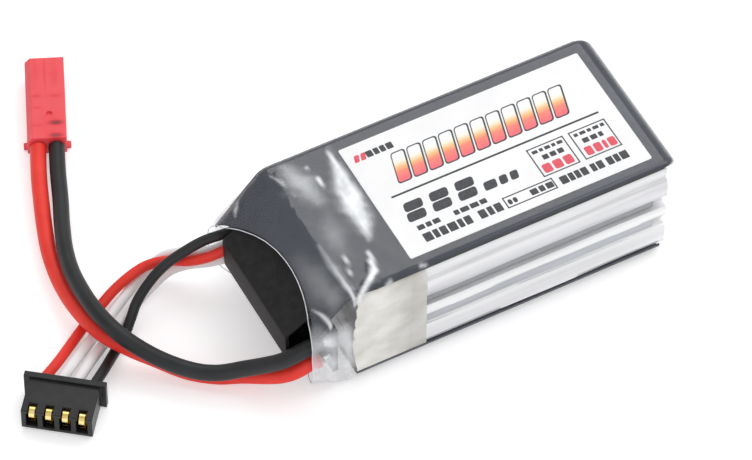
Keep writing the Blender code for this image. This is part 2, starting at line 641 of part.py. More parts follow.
def make_power_plug(body_material, contact_material):
    """Two-way plug: housing, two socket contacts and the latch arm under it."""
    lead_height = LEAD_ROUTES["main_lead_red"][1][-1][2] * MM
    housing = prism("power_plug_housing", plug_outline(), 0.0, PLUG_LENGTH, across_and_up, body_material)
    contacts = []
    half_socket, half_contact = PLUG_SOCKET / 2, PLUG_CONTACT / 2
    half_bore = PLUG_CONTACT_BORE / 2
    for side, name in ((-1, "red"), (1, "black")):
        middle = side * PLUG_PITCH / 2
        way = box("power_way_" + name,
                  (middle - half_socket, PLUG_LENGTH - PLUG_SOCKET_DEPTH, lead_height - half_socket),
                  (middle + half_socket, PLUG_LENGTH + 1 * MM, lead_height + half_socket), body_material)
        cut(housing, way)
        front = PLUG_LENGTH - PLUG_CONTACT_SETBACK
        contact = box("power_contact_" + name,
                      (middle - half_contact, front - PLUG_CONTACT_LENGTH, lead_height - half_contact),
                      (middle + half_contact, front, lead_height + half_contact), contact_material)
        bore = box("power_bore_" + name,
                   (middle - half_bore, front - PLUG_CONTACT_LENGTH + 1 * MM, lead_height - half_bore),
                   (middle + half_bore, front + 1 * MM, lead_height + half_bore), contact_material)
        cut(contact, bore)
        contacts += [contact, bore, way]
    dimple = bpy.data.meshes.new("plug_dimple")
    work = bmesh.new()
    place = Matrix.Translation((0.5 * MM, 4.9 * MM, PLUG_TOP + 0.1 * MM))
    bmesh.ops.create_cone(work, cap_ends=True, segments=12, radius1=PLUG_DIMPLE_RADIUS,
                          radius2=PLUG_DIMPLE_RADIUS, depth=1.0 * MM, matrix=place)
    work.to_mesh(dimple)
    work.free()
    dimple_tool = add_object("plug_dimple", dimple, body_material)
    cut(housing, dimple_tool)
    guards = []
    guard_width = (PLUG_WIDTH - LATCH_WIDTH) / 2 - 2 * GAP
    for side, name in ((-1, "left"), (1, "right")):
        outer, inner = side * PLUG_WIDTH / 2, side * (PLUG_WIDTH / 2 - guard_width)
        guard = box("plug_guard_" + name, (min(outer, inner), LATCH_EAR[1] + 2 * GAP, 0.0),
                    (max(outer, inner), LATCH_EAR[1] + 3 * MM, PLUG_BASE + 0.5 * MM), body_material)
        cut(housing, guard, "UNION")
        guards.append(guard)
    latch = make_latch(body_material)
    frame = frame_at("power_plug_place", PLUG_POSITION, PLUG_TURN)
    place_under(frame, [housing, latch, dimple_tool] + contacts + guards)


def make_latch(material):
    """Springy arm under the plug, rooted near its mating end, with an ear each side at the wire end.

    Its origin is on its hinge line. It slopes down from the root, so that its tip lies lowest.
    """
    half, ear_half = LATCH_WIDTH / 2, LATCH_EAR_SPAN / 2
    ear_back, ear_front = LATCH_EAR[0] - LATCH_ROOT, LATCH_EAR[1] - LATCH_ROOT
    tip = ear_back - 0.6 * MM
    outline = [(half, 0.6 * MM), (-half, 0.6 * MM), (-half, ear_front), (-ear_half, ear_front - 0.4 * MM),
               (-ear_half, ear_back + 0.2 * MM), (-half, ear_back), (-half, tip), (half, tip),
               (half, ear_back), (ear_half, ear_back + 0.2 * MM), (ear_half, ear_front - 0.4 * MM),
               (half, ear_front)]
    arm = prism("power_plug_latch", outline, -LATCH_THICKNESS / 2, LATCH_THICKNESS / 2, along_z, material)
    arm.location = (0.0, LATCH_ROOT, PLUG_BASE - GAP - LATCH_THICKNESS / 2 - 0.02 * MM)
    arm.rotation_euler = (LATCH_SLOPE, 0.0, 0.0)
    return arm


# --- Balance plug --------------------------------------------------------------------------------
def make_balance_plug(body_material, contact_material):
    """Four-way plug: a flanged housing with a window over each contact."""
    reach = (BALANCE_WAYS - 1) * BALANCE_PITCH / 2
    half_width = reach + BALANCE_BODY_MARGIN
    lead_height = LEAD_ROUTES["balance_lead_red"][1][-1][2] * MM
    body = box("balance_plug_housing", (-half_width, -BALANCE_LENGTH, BALANCE_BASE),
               (half_width, -0.5 * MM, BALANCE_TOP), body_material)
    half_flange = BALANCE_FLANGE_SPAN / 2
    flange = box("balance_flange", (-half_flange, -BALANCE_FLANGE_DEPTH, 0.0),
                 (half_flange, 0.0, BALANCE_FLANGE_HEIGHT), body_material)
    cut(body, flange, "UNION")
    things = [body, flange]
    socket_width, socket_height = BALANCE_SOCKET
    slot_width, slot_length = BALANCE_SLOT
    half_contact = socket_width / 2 - GAP
    half_bore = BALANCE_CONTACT_BORE / 2
    for way in range(BALANCE_WAYS):
        middle = way * BALANCE_PITCH - reach
        inner_end = -BALANCE_LENGTH + BALANCE_SOCKET_DEPTH
        socket = box(f"balance_way_{way + 1}",
                     (middle - socket_width / 2, -BALANCE_LENGTH - 1 * MM, lead_height - socket_height / 2),
                     (middle + socket_width / 2, inner_end, lead_height + socket_height / 2), body_material)
        slot = box(f"balance_slot_{way + 1}",
                   (middle - slot_width / 2, -BALANCE_LENGTH - 1 * MM, lead_height),
                   (middle + slot_width / 2, -BALANCE_LENGTH + slot_length, BALANCE_TOP + 1 * MM),
                   body_material)
        cut(body, socket)
        cut(body, slot)
        front = -BALANCE_LENGTH + GAP
        half_height = socket_height / 2 - GAP
        back = front + BALANCE_CONTACT_LENGTH
        contact = box(f"balance_contact_{way + 1}",
                      (middle - half_contact, front, lead_height - half_height),
                      (middle + half_contact, back, lead_height + half_height), contact_material)
        bore = box(f"balance_bore_{way + 1}", (middle - half_bore, front - 1 * MM, lead_height - half_bore),
                   (middle + half_bore, back - 1 * MM, lead_height + half_bore), contact_material)
        cut(contact, bore)
        things += [socket, slot, contact, bore]
    place_under(frame_at("balance_plug_place", BALANCE_POSITION, BALANCE_TURN), things)


def main():
    """Build the whole pack."""
    clear_scene()
    laminate = finish("pouch_laminate", (0.78, 0.79, 0.80), 0.3, 0.6)
    black_fibre = finish("black_fibre", (0.02, 0.02, 0.022), 0.85)
    dark_card = finish("dark_card", (0.10, 0.11, 0.13), 0.4)
    aluminium = finish("aluminium_tab", (0.80, 0.80, 0.82), 0.35, 1.0)
    nickel = finish("nickel_tab", (0.65, 0.63, 0.60), 0.35, 1.0)
    red_plastic = finish("red_plastic", (0.80, 0.06, 0.07), 0.35)
    black_plastic = finish("black_plastic", (0.03, 0.03, 0.035), 0.45)
    gold = finish("gold_plate", (0.90, 0.70, 0.25), 0.3, 1.0)
    tin = finish("tin_plate", (0.72, 0.71, 0.68), 0.35, 1.0)
    solder = finish("solder", (0.62, 0.62, 0.64), 0.3, 1.0)
    silicone = {
        "red": finish("red_silicone", (0.80, 0.05, 0.04), 0.55),
        "black": finish("black_silicone", (0.02, 0.02, 0.022), 0.55),
        "white": finish("white_silicone", (0.85, 0.84, 0.84), 0.55),
    }
    make_sleeve(finish("clear_film", (0.85, 0.86, 0.88), 0.1))
    make_top_card(dark_card)
    make_bottom_card(dark_card)
    make_label(finish("label_print", (0.90, 0.90, 0.90), 0.3))
    make_tape(finish("fibre_tape", (0.78, 0.75, 0.68), 0.7))
    make_cells(laminate)
    make_adhesives(finish("adhesive_sheet", (0.75, 0.75, 0.70), 0.6))
    make_tabs(aluminium, nickel)
    make_board(finish("board_laminate", (0.04, 0.22, 0.10), 0.5))
    make_solder_joints(solder)
    make_end_pad(black_fibre)
    make_leads(silicone)
    make_power_plug(red_plastic, tin)
    make_balance_plug(black_plastic, gold)


main()
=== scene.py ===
# %% [markdown]
# # A small battery pack in clear shrink film
# Three pouch cells lie in a stack under a dark card, bound with fibre tape and held in clear film.
# Two power leads end in a latched red plug, and four thinner leads end in a flanged black plug.
# This lesson makes each piece as a surface worked out with numpy and gives it a finish from nodes.

# %% Load the frame
import math

import bpy
import bmesh
import numpy as np
from mathutils import Matrix, Vector


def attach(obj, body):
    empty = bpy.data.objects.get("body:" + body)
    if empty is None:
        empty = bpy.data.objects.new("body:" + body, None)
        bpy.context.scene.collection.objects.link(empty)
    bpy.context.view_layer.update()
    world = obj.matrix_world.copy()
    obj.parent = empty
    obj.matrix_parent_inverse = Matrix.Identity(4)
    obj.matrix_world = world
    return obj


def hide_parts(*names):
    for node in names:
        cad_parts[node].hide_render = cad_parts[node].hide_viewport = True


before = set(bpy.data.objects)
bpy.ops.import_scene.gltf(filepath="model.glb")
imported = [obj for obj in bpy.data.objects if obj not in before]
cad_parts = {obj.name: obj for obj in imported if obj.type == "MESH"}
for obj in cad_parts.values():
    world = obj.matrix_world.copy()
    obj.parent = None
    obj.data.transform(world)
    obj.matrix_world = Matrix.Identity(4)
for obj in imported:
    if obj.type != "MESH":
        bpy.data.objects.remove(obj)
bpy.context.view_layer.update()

MM = 0.001

# %% [markdown]
# ## Camera
# A long lens far away keeps parallel edges nearly parallel, as a small thing looks from a few steps off.
# The camera is placed by a direction and a distance from a point on the pack, then rolled slightly.

# %% Camera
TARGET = np.array((-10.65, 2.0, 11.0)) * MM
AZIMUTH, ELEVATION, ROLL = np.radians((-28.377, 52.014, 0.484))
DISTANCE = 818.7 * MM
FOCAL_LENGTH = 263.3


def add_camera():
    """Place the camera: its back axis points from the target along azimuth and elevation."""
    back = np.array((math.sin(AZIMUTH) * math.cos(ELEVATION),
                     -math.cos(AZIMUTH) * math.cos(ELEVATION), math.sin(ELEVATION)))
    right = np.cross(-back, (0.0, 0.0, 1.0))
    right /= np.linalg.norm(right)
    up = np.cross(right, -back)
    turned_right = math.cos(ROLL) * right + math.sin(ROLL) * up
    turned_up = -math.sin(ROLL) * right + math.cos(ROLL) * up
    data = bpy.data.cameras.new("camera")
    data.lens = FOCAL_LENGTH
    data.sensor_width = 36.0
    data.clip_start = 0.01
    camera = bpy.data.objects.new("camera", data)
    bpy.context.scene.collection.objects.link(camera)
    axes = Matrix([turned_right, turned_up, back]).transposed().to_4x4()
    axes.translation = Vector(TARGET + DISTANCE * back)
    camera.matrix_world = axes
    bpy.context.scene.camera = camera


add_camera()

# %% [markdown]
# ## Tools for surfaces
# Every new piece is a grid of points. A grid becomes a mesh when each cell of four neighbouring points
# becomes a face, and a direction that closes on itself joins its last points to its first.

# %% Grids into meshes
def grid_faces(rows, columns, close_rows=False, close_columns=False):
    """Corner numbers of every cell of a grid, row by row, as one array."""
    row = np.arange(rows if close_rows else rows - 1)[:, None]
    column = np.arange(columns if close_columns else columns - 1)[None, :]
    after_row, after_column = (row + 1) % rows, (column + 1) % columns
    corners = (row * columns + column, row * columns + after_column,
               after_row * columns + after_column, after_row * columns + column)
    return np.stack(corners, axis=-1).reshape(-1, 4)


def add_piece(name, points, faces, material, body="pack", smooth=True, values=None):
    """Turn points and faces into an object that rides on a body, with its faces pointing outwards.

    values holds one number for each point under a name, which a finish can read.
    """
    mesh = bpy.data.meshes.new(name)
    mesh.from_pydata(np.asarray(points).reshape(-1, 3).tolist(), [], [list(face) for face in faces])
    for value_name, numbers in (values or {}).items():
        layer = mesh.attributes.new(value_name, "FLOAT", "POINT")
        layer.data.foreach_set("value", np.asarray(numbers, dtype=np.float32).ravel())
    work = bmesh.new()
    work.from_mesh(mesh)
    bmesh.ops.recalc_face_normals(work, faces=work.faces)
    if work.calc_volume(signed=True) < 0:
        bmesh.ops.reverse_faces(work, faces=work.faces)
    work.to_mesh(mesh)
    work.free()
    mesh.polygons.foreach_set("use_smooth", np.full(len(mesh.polygons), smooth))
    mesh.materials.append(material)
    piece = bpy.data.objects.new(name, mesh)
    bpy.context.scene.collection.objects.link(piece)
    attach(piece, body)
    return piece


def two_sided(outer, inner, closed):
    """Points and faces of a thin solid between two grids; closed joins each row's ends."""
    rows, columns = outer.shape[:2]
    below = rows * columns
    points = np.concatenate([outer.reshape(-1, 3), inner.reshape(-1, 3)])
    skin = grid_faces(rows, columns, close_columns=closed)
    faces = [skin, skin[:, ::-1] + below]
    rims = [np.arange(columns), (rows - 1) * columns + np.arange(columns)]
    if closed:
        rims = [np.append(rim, rim[0]) for rim in rims]
    else:
        rims += [np.arange(rows) * columns, np.arange(rows) * columns + columns - 1]
    for rim in rims:
        faces.append(np.stack([rim[:-1], rim[1:], rim[1:] + below, rim[:-1] + below], 1))
    return points, np.concatenate(faces)


def rod_faces(rows, columns):
    """Faces of a section carried along a path: its skin, and a cap on each end."""
    last = (rows - 1) * columns
    skin = grid_faces(rows, columns, close_columns=True)
    return [*skin, range(columns), range(last + columns - 1, last - 1, -1)]


def sharpen(piece, degrees=35):
    """Keep edges sharp where two faces meet at more than this angle."""
    piece.data.set_sharp_from_angle(angle=math.radians(degrees))
    return piece


# %% [markdown]
# ## Finishes
# A finish is one Principled shader with its plain numbers set on its own sockets. What varies over a
# surface, such as fibres, scuffs or print, comes from textures that read the object's own coordinates.

# %% Helpers for finishes
def new_finish(name, colour, roughness, **sockets):
    """A Principled finish; other sockets are given by name with underscores for spaces."""
    material = bpy.data.materials.new(name)
    material.use_nodes = True
    shader = material.node_tree.nodes["Principled BSDF"]
    shader.inputs["Base Color"].default_value = (*colour, 1.0)
    shader.inputs["Roughness"].default_value = roughness
    for key, value in sockets.items():
        shader.inputs[key.replace("_", " ")].default_value = value
    return material


def noise(material, scale, stretch=(1, 1, 1), detail=4.0, turn=0.0):
    """Noise in the object's coordinates; scale counts its features to a metre, stretch divides an axis."""
    nodes, links = material.node_tree.nodes, material.node_tree.links
    place = nodes.new("ShaderNodeTexCoord")
    mapping = nodes.new("ShaderNodeMapping")
    mapping.inputs["Scale"].default_value = [1 / value for value in stretch]
    mapping.inputs["Rotation"].default_value = (0.0, 0.0, turn)
    texture = nodes.new("ShaderNodeTexNoise")
    texture.inputs["Scale"].default_value = scale
    texture.inputs["Detail"].default_value = detail
    links.new(place.outputs["Object"], mapping.inputs["Vector"])
    links.new(mapping.outputs["Vector"], texture.inputs["Vector"])
    return texture.outputs["Fac"]


def ramp(material, factor, stops):
    """Colours along a factor: stops are (place, colour)."""
    node = material.node_tree.nodes.new("ShaderNodeValToRGB")
    band = node.color_ramp
    while len(band.elements) < len(stops):
        band.elements.new(0.5)
    for element, (place, colour) in zip(band.elements, stops):
        element.position = place
        element.color = (*colour, 1.0)
    material.node_tree.links.new(factor, node.inputs["Fac"])
    return node.outputs["Color"]


def connect(material, output, socket):
    """Lead an output into a socket of the finish's shader."""
    shader = material.node_tree.nodes["Principled BSDF"]
    material.node_tree.links.new(output, shader.inputs[socket])


def bump(material, height, strength, depth):
    """Relief of a given depth in metres from a height; it joins relief that is already there."""
    nodes, links = material.node_tree.nodes, material.node_tree.links
    shader = nodes["Principled BSDF"]
    node = nodes.new("ShaderNodeBump")
    node.inputs["Strength"].default_value = strength
    node.inputs["Distance"].default_value = depth
    links.new(height, node.inputs["Height"])
    if shader.inputs["Normal"].links:
        links.new(shader.inputs["Normal"].links[0].from_socket, node.inputs["Normal"])
    links.new(node.outputs["Normal"], shader.inputs["Normal"])


def mottle(material, dark, light, scale, stretch=(1, 1, 1), low=0.35, high=0.65):
    """Let the colour drift between two tones."""
    tones = ramp(material, noise(material, scale, stretch), [(low, dark), (high, light)])
    connect(material, tones, "Base Color")


def arithmetic(material, operation, first, second):
    """A maths node on outputs or numbers."""
    node = material.node_tree.nodes.new("ShaderNodeMath")
    node.operation = operation
    for socket, value in zip(node.inputs, (first, second)):
        if isinstance(value, (int, float)):
            socket.default_value = value
        else:
            material.node_tree.links.new(value, socket)
    return node.outputs["Value"]


def attribute(material, name):
    """The number that a piece holds under a name."""
    node = material.node_tree.nodes.new("ShaderNodeAttribute")
    node.attribute_name = name
    return node.outputs["Fac"]


def own_place(material, centre=(0.0, 0.0, 0.0), turn=0.0):
    """X, Y and Z of a point on the piece, counted from a centre and turned about Z, as outputs."""
    nodes, links = material.node_tree.nodes, material.node_tree.links
    place = nodes.new("ShaderNodeTexCoord")
    mapping = nodes.new("ShaderNodeMapping")
    mapping.vector_type = "TEXTURE"
    mapping.inputs["Location"].default_value = centre
    mapping.inputs["Rotation"].default_value = (0.0, 0.0, turn)
    split = nodes.new("ShaderNodeSeparateXYZ")
    links.new(place.outputs["Object"], mapping.inputs["Vector"])
    links.new(mapping.outputs["Vector"], split.inputs["Vector"])
    return split.outputs


# %% [markdown]
# ## Silicone
# Lead insulation is soft silicone with a dull, slightly milky skin. Middling roughness and a little
# scattering under the surface give that, and fine noise keeps the tone from being flat.

# %% Silicone
def silicone(name, dark, light):
    """Lead silicone: matte, with a faint drift of tone and a fine grain."""
    material = new_finish(name, light, 0.5, Specular_IOR_Level=0.4, Subsurface_Weight=0.05,
                          Subsurface_Radius=(0.001, 0.0005, 0.0005), Subsurface_Scale=0.3)
    mottle(material, dark, light, 180)
    bump(material, noise(material, 3500), 0.15, 0.00003)
    return material


BLACK_SILICONE = silicone("black_silicone", (0.010, 0.011, 0.012), (0.018, 0.019, 0.021))
RED_SILICONE = silicone("red_silicone", (0.80, 0.030, 0.018), (0.88, 0.045, 0.028))
WHITE_SILICONE = silicone("white_silicone", (0.92, 0.90, 0.91), (0.97, 0.96, 0.96))

# %% [markdown]
# ## Leads
# Each lead is a round tube on a smooth curve through a few chosen points. It starts at a solder joint
# inside the mouth of the film, falls to the ground in a few diameters and lies on it up to its plug.
# The two power leads cross over the balance leads in a low hump and rest on them.

# %% Routes, in mm
# Each lead by its name in the model: its diameter, its finish and the points of its route.
LEADS = {
    "main_lead_black": (2.5, BLACK_SILICONE, (
        (-27.65, -12.3, 10.4), (-29.5, -12.3, 10.3), (-31.5, -12.0, 9.5), (-33.2, -11.2, 8.2),
        (-34.9, -9.9, 6.8), (-37.6, -8.1, 5.4), (-41.6, -6.1, 4.4), (-45.0, -3.4, 4.3),
        (-48.6, 0.6, 5.1), (-51.6, 5.5, 6.4), (-52.8, 11.8, 6.2), (-52.5, 18.9, 5.2),
        (-51.3, 24.5, 4.4), (-49.4, 29.7, 3.7), (-47.3, 34.6, 3.3), (-45.3, 39.6, 3.1),
        (-43.2, 44.4, 3.1))),
    "main_lead_red": (2.5, RED_SILICONE, (
        (-27.65, -12.3, 6.5), (-29.5, -12.2, 6.3), (-31.5, -11.9, 5.4), (-33.2, -10.8, 4.2),
        (-35.0, -9.0, 3.0), (-37.6, -6.6, 1.9), (-40.9, -4.6, 1.4), (-44.3, -1.8, 1.4),
        (-47.8, 1.8, 2.4), (-50.7, 4.8, 3.4), (-53.1, 9.0, 3.6), (-54.1, 14.8, 3.1),
        (-54.0, 20.7, 2.5), (-53.1, 26.3, 2.4), (-51.7, 31.0, 2.6), (-49.8, 36.2, 2.9),
        (-48.0, 40.7, 3.1), (-45.8, 45.5, 3.1))),
    "balance_lead_black": (1.6, BLACK_SILICONE, (
        (-27.45, 12.6, 9.9), (-30.2, 12.7, 9.8), (-33.7, 13.4, 9.2), (-37.1, 13.7, 8.0),
        (-40.3, 13.7, 6.6), (-43.2, 13.1, 4.8), (-45.7, 11.9, 3.3), (-47.6, 10.2, 2.3),
        (-49.7, 8.3, 1.4), (-52.4, 6.3, 1.2), (-55.3, 3.7, 2.0), (-58.5, 1.2, 2.5))),
    "balance_lead_white_a": (1.6, WHITE_SILICONE, (
        (-27.45, 12.9, 7.2), (-30.0, 12.8, 7.15), (-32.3, 12.9, 6.8), (-34.3, 13.9, 6.3),
        (-36.3, 15.7, 5.4), (-38.1, 17.1, 4.2), (-39.8, 17.7, 2.8), (-41.6, 17.7, 1.6),
        (-44.0, 16.6, 1.0), (-46.3, 15.2, 0.9), (-49.2, 13.4, 0.9), (-52.5, 11.4, 0.9),
        (-55.5, 9.4, 1.1), (-58.7, 7.0, 1.9), (-62.4, 4.3, 2.5))),
    "balance_lead_white_b": (1.6, WHITE_SILICONE, (
        (-27.45, 11.5, 5.8), (-29.3, 11.5, 5.75), (-31.4, 11.8, 5.3), (-33.5, 12.8, 4.6),
        (-35.8, 14.5, 3.5), (-38.3, 15.8, 2.0), (-41.0, 15.4, 1.0), (-44.2, 13.9, 0.9),
        (-47.6, 11.9, 0.9), (-51.1, 9.9, 0.9), (-53.8, 8.1, 1.1), (-57.1, 5.5, 2.0), (-60.4, 2.8, 2.5))),
    "balance_lead_red": (1.6, RED_SILICONE, (
        (-27.45, 11.1, 8.4), (-29.5, 11.1, 8.35), (-32.2, 11.2, 7.9), (-34.4, 11.9, 7.1),
        (-36.5, 13.2, 6.2), (-38.2, 14.8, 5.5), (-39.8, 16.1, 4.7), (-41.8, 17.1, 3.6),
        (-44.4, 17.1, 2.7), (-47.6, 16.4, 1.7), (-50.9, 14.9, 1.0), (-54.0, 13.1, 0.9),
        (-57.3, 10.9, 1.0), (-60.6, 8.3, 1.9), (-64.25, 5.95, 2.5))),
}


# %% Tubes along a route
STEP_ALONG_LEAD, SIDES_OF_LEAD = 0.35 * MM, 20


def smooth_route(points, spacing):
    """Evenly spaced points on a Catmull-Rom curve: each stretch is a cubic through its two points
    whose slope at a point is half the step from the point before to the point after."""
    points = np.array(points) * MM
    ends = np.vstack([2 * points[0] - points[1], points, 2 * points[-1] - points[-2]])
    t = np.linspace(0, 1, 24, endpoint=False)[:, None, None]
    a, b, c, d = ends[:-3], ends[1:-2], ends[2:-1], ends[3:]
    squared, cubed = 2 * a - 5 * b + 4 * c - d, 3 * b - a - 3 * c + d
    fine = 0.5 * (2 * b + (c - a) * t + squared * t ** 2 + cubed * t ** 3)
    fine = np.vstack([fine.transpose(1, 0, 2).reshape(-1, 3), points[-1:]])
    travelled = np.concatenate([[0.0], np.cumsum(np.linalg.norm(np.diff(fine, axis=0), axis=1))])
    places = np.linspace(0, travelled[-1], math.ceil(travelled[-1] / spacing) + 1)
    return np.stack([np.interp(places, travelled, fine[:, axis]) for axis in range(3)], axis=1)


def tube(path, radius, sides, closed=False):
    """Points and faces of a round tube: circles that stand square to the path, whose side axis is level.

    A point is path + radius (cos angle side + sin angle up), with side = tangent x Z, up = side x tangent.
    """
    if closed:
        tangent = np.roll(path, -1, axis=0) - np.roll(path, 1, axis=0)
    else:
        tangent = np.gradient(path, axis=0)
    tangent /= np.linalg.norm(tangent, axis=1, keepdims=True)
    side = np.cross(tangent, (0.0, 0.0, 1.0))
    side /= np.linalg.norm(side, axis=1, keepdims=True)
    up = np.cross(side, tangent)
    angle = np.linspace(0, 2 * math.pi, sides, endpoint=False)[None, :, None]
    radius = np.broadcast_to(radius, len(path))[:, None, None]
    points = path[:, None] + radius * (np.cos(angle) * side[:, None] + np.sin(angle) * up[:, None])
    return points, grid_faces(len(path), sides, True, True) if closed else rod_faces(len(path), sides)


def path_length(path):
    """The sum of the steps between its points."""
    return float(np.linalg.norm(np.diff(path, axis=0), axis=1).sum())


lead_pieces, lead_paths = {}, {}
for lead_name, (diameter, material, route) in LEADS.items():
    path = smooth_route(route, STEP_ALONG_LEAD)
    points, faces = tube(path, diameter * MM / 2, SIDES_OF_LEAD)
    piece = sharpen(add_piece(lead_name.replace("lead", "wire"), points, faces, material), 60)
    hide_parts(lead_name)
    lead_pieces[lead_name], lead_paths[lead_name] = piece, path
    print(lead_name, "is", round(path_length(path) / MM, 1), "mm long")

# %% [markdown]
# ## The wrapped form
# Film and cards follow one form: a rounded block whose front slopes down to a mouth and whose rear
# edge turns over onto the end. Each ring across it is a rounded rectangle, given by codes that say how
# much of the half width, the half height and the corner's radius each of its points takes.

# %% Measures of the wrap
LENGTH, WIDTH, HEIGHT = 65.0 * MM, 29.0 * MM, 21.0 * MM
NOSE_X, REAR_X = -LENGTH / 2, LENGTH / 2
NOSE_LENGTH = 8.7 * MM
SHOULDER_X = NOSE_X + NOSE_LENGTH
TOP_SLOPE, BASE_SLOPE = 1.0, 0.42
CORNER_RADIUS, NOSE_CORNER_RADIUS, REAR_RADIUS = 1.8 * MM, 3.2 * MM, 3.2 * MM
LEAST_RADIUS = 0.3 * MM
MOUTH_DEPTH, MOUTH_DEEPEST_Y = 5.1 * MM, -2.5 * MM
BODY_START = SHOULDER_X + 1.2 * MM
CARD_DEPTHS = (0.42 * MM, 0.72 * MM)


def ring_codes(corner_steps, across, upright, lowest=0.0):
    """Codes of a ring from the near side over the top and back under, as one array.

    y = a (w - r) + b r and z = middle + c (h - r) + d r. lowest is the angle in radians above level
    at which an open ring over the top starts and ends; a closed ring runs all the way round.
    """
    turn = np.linspace(math.pi - lowest, math.pi / 2, corner_steps)
    level, edge = np.linspace(-1, 1, across + 2)[1:-1], np.linspace(1, -1, upright + 2)[1:-1]
    left_top = np.stack([-np.ones_like(turn), np.cos(turn), np.ones_like(turn), np.sin(turn)], 1)
    top = np.stack([level, 0 * level, 0 * level + 1, 0 * level + 1], 1)
    upper = np.concatenate([left_top, top, left_top[::-1] * (-1, -1, 1, 1)])
    if lowest > 0:
        return upper
    right = np.stack([0 * edge + 1, 0 * edge + 1, edge, 0 * edge], 1)
    return np.concatenate([upper, right, upper[::-1] * (1, 1, -1, -1), right[::-1] * (-1, -1, 1, 1)])


def wrap_ring(codes, x, depth, inset=0.0):
    """Points of the form at each x, a depth under its surface.

    Past the shoulder the top drops and the base rises by a slope times the distance, which grows as a
    parabola from a millimetre before it to a millimetre after. Over the rear edge the section draws in
    by r - sqrt(r^2 - past^2), a quarter of a circle.
    """
    distance = SHOULDER_X - x
    near = np.clip(distance + MM, 0.0, 2 * MM)
    ahead = near ** 2 / (4 * MM) + np.maximum(distance - MM, 0.0)
    share = np.clip(ahead / NOSE_LENGTH, 0.0, 1.0)
    turn_radius = REAR_RADIUS - depth
    past = np.clip(x - (REAR_X - REAR_RADIUS), 0.0, turn_radius)
    drawn_in = inset + turn_radius - np.sqrt(turn_radius ** 2 - past ** 2)
    top = HEIGHT - TOP_SLOPE * ahead - depth * (1 + share * (math.hypot(1, TOP_SLOPE) - 1)) - drawn_in
    base = BASE_SLOPE * ahead + depth * (1 + share * (math.hypot(1, BASE_SLOPE) - 1)) + drawn_in
    radius = CORNER_RADIUS + share * (NOSE_CORNER_RADIUS - CORNER_RADIUS) - depth - drawn_in
    radius = np.maximum(radius, LEAST_RADIUS)
    half_height = (top - base) / 2
    y = codes[:, 0] * (WIDTH / 2 - depth - drawn_in - radius) + codes[:, 1] * radius
    z = (top + base) / 2 + codes[:, 2] * (half_height - radius) + codes[:, 3] * radius
    return np.stack([x, y, z], axis=-1)


def wrap_grid(codes, depth, setback, flap):
    """Rings from the mouth over the shoulder, along the pack, round the rear and onto its end.

    The mouth's edge is a parabola across the pack: x = nose + depth (1 - reach squared) + setback.
    """
    y = codes[:, 0] * (WIDTH / 2 - depth - CORNER_RADIUS) + codes[:, 1] * CORNER_RADIUS
    reach = (y - MOUTH_DEEPEST_Y) / (WIDTH / 2 - MOUTH_DEEPEST_Y)
    front = NOSE_X + MOUTH_DEPTH * (1 - reach ** 2) + setback
    turn_start = REAR_X - REAR_RADIUS
    share = np.linspace(0, 1, 56)[:, None]
    nose = wrap_ring(codes, front + share * (BODY_START - front), depth)
    body = wrap_ring(codes, np.linspace(BODY_START, turn_start, 90)[1:, None] + 0 * front, depth)
    angle = np.radians(np.linspace(0, 90, 13)[1:, None])
    turn = wrap_ring(codes, turn_start + (REAR_RADIUS - depth) * np.sin(angle) + 0 * front, depth)
    end_x = np.full(len(codes), REAR_X - depth)
    end = [wrap_ring(codes, end_x, depth, flap * part) for part in (0.35, 0.7, 1.0)]
    return np.concatenate([nose, body, turn, end])


# %% [markdown]
# ## Folds in the film
# Shrunk film lies flat on the broad faces, and crumples where it bends down over the nose. A fold is a
# bell curve across a line. Folds lift the surface, and the bright reflections along them are painted: each
# point keeps a second number, its painted highlight and haze, which the film's finish turns into white.

# %% Folds and painted highlights
def rise(value, start, end):
    """0 up to start and 1 past end, both in mm, in a straight line between them."""
    return np.clip((value - start * MM) / ((end - start) * MM), 0, 1)


def across_line(x, y, start, end):
    """Distance from a line between two points in mm, and the share along it from 0 to 1."""
    start, end = np.array(start) * MM, np.array(end) * MM
    run = end - start
    share = np.clip(((x - start[0]) * run[0] + (y - start[1]) * run[1]) / (run @ run), 0, 1)
    return np.hypot(x - start[0] - share * run[0], y - start[1] - share * run[1]), share


# Each fold: its start and end as x and y, its width and its height, all in mm. A dent is below zero.
FOLDS = (
    ((-13.5, 12.4), (-14.2, 0.5), 0.8, 0.28), ((-17.4, -8.6), (-18.6, -12.0), 0.9, 0.35),
    ((-18.6, -12.0), (-23.0, -14.6), 0.8, 0.45), ((-23.4, -4.0), (-23.0, -14.4), 1.1, 0.30),
    ((-17.0, 11.0), (-16.2, 4.0), 1.2, -0.25), ((-22.0, 11.5), (-21.0, 3.0), 1.4, 0.22),
    ((-26.6, -9.5), (-25.6, -14.4), 0.9, 0.22), ((-20.5, 2.0), (-18.5, -7.5), 1.3, -0.22),
    ((-26.0, 9.5), (-22.5, 12.5), 1.0, -0.18), ((-15.6, -6.0), (-13.2, -12.6), 0.9, 0.20),
    ((-28.8, 11.5), (-26.2, 13.6), 0.7, 0.20),
)
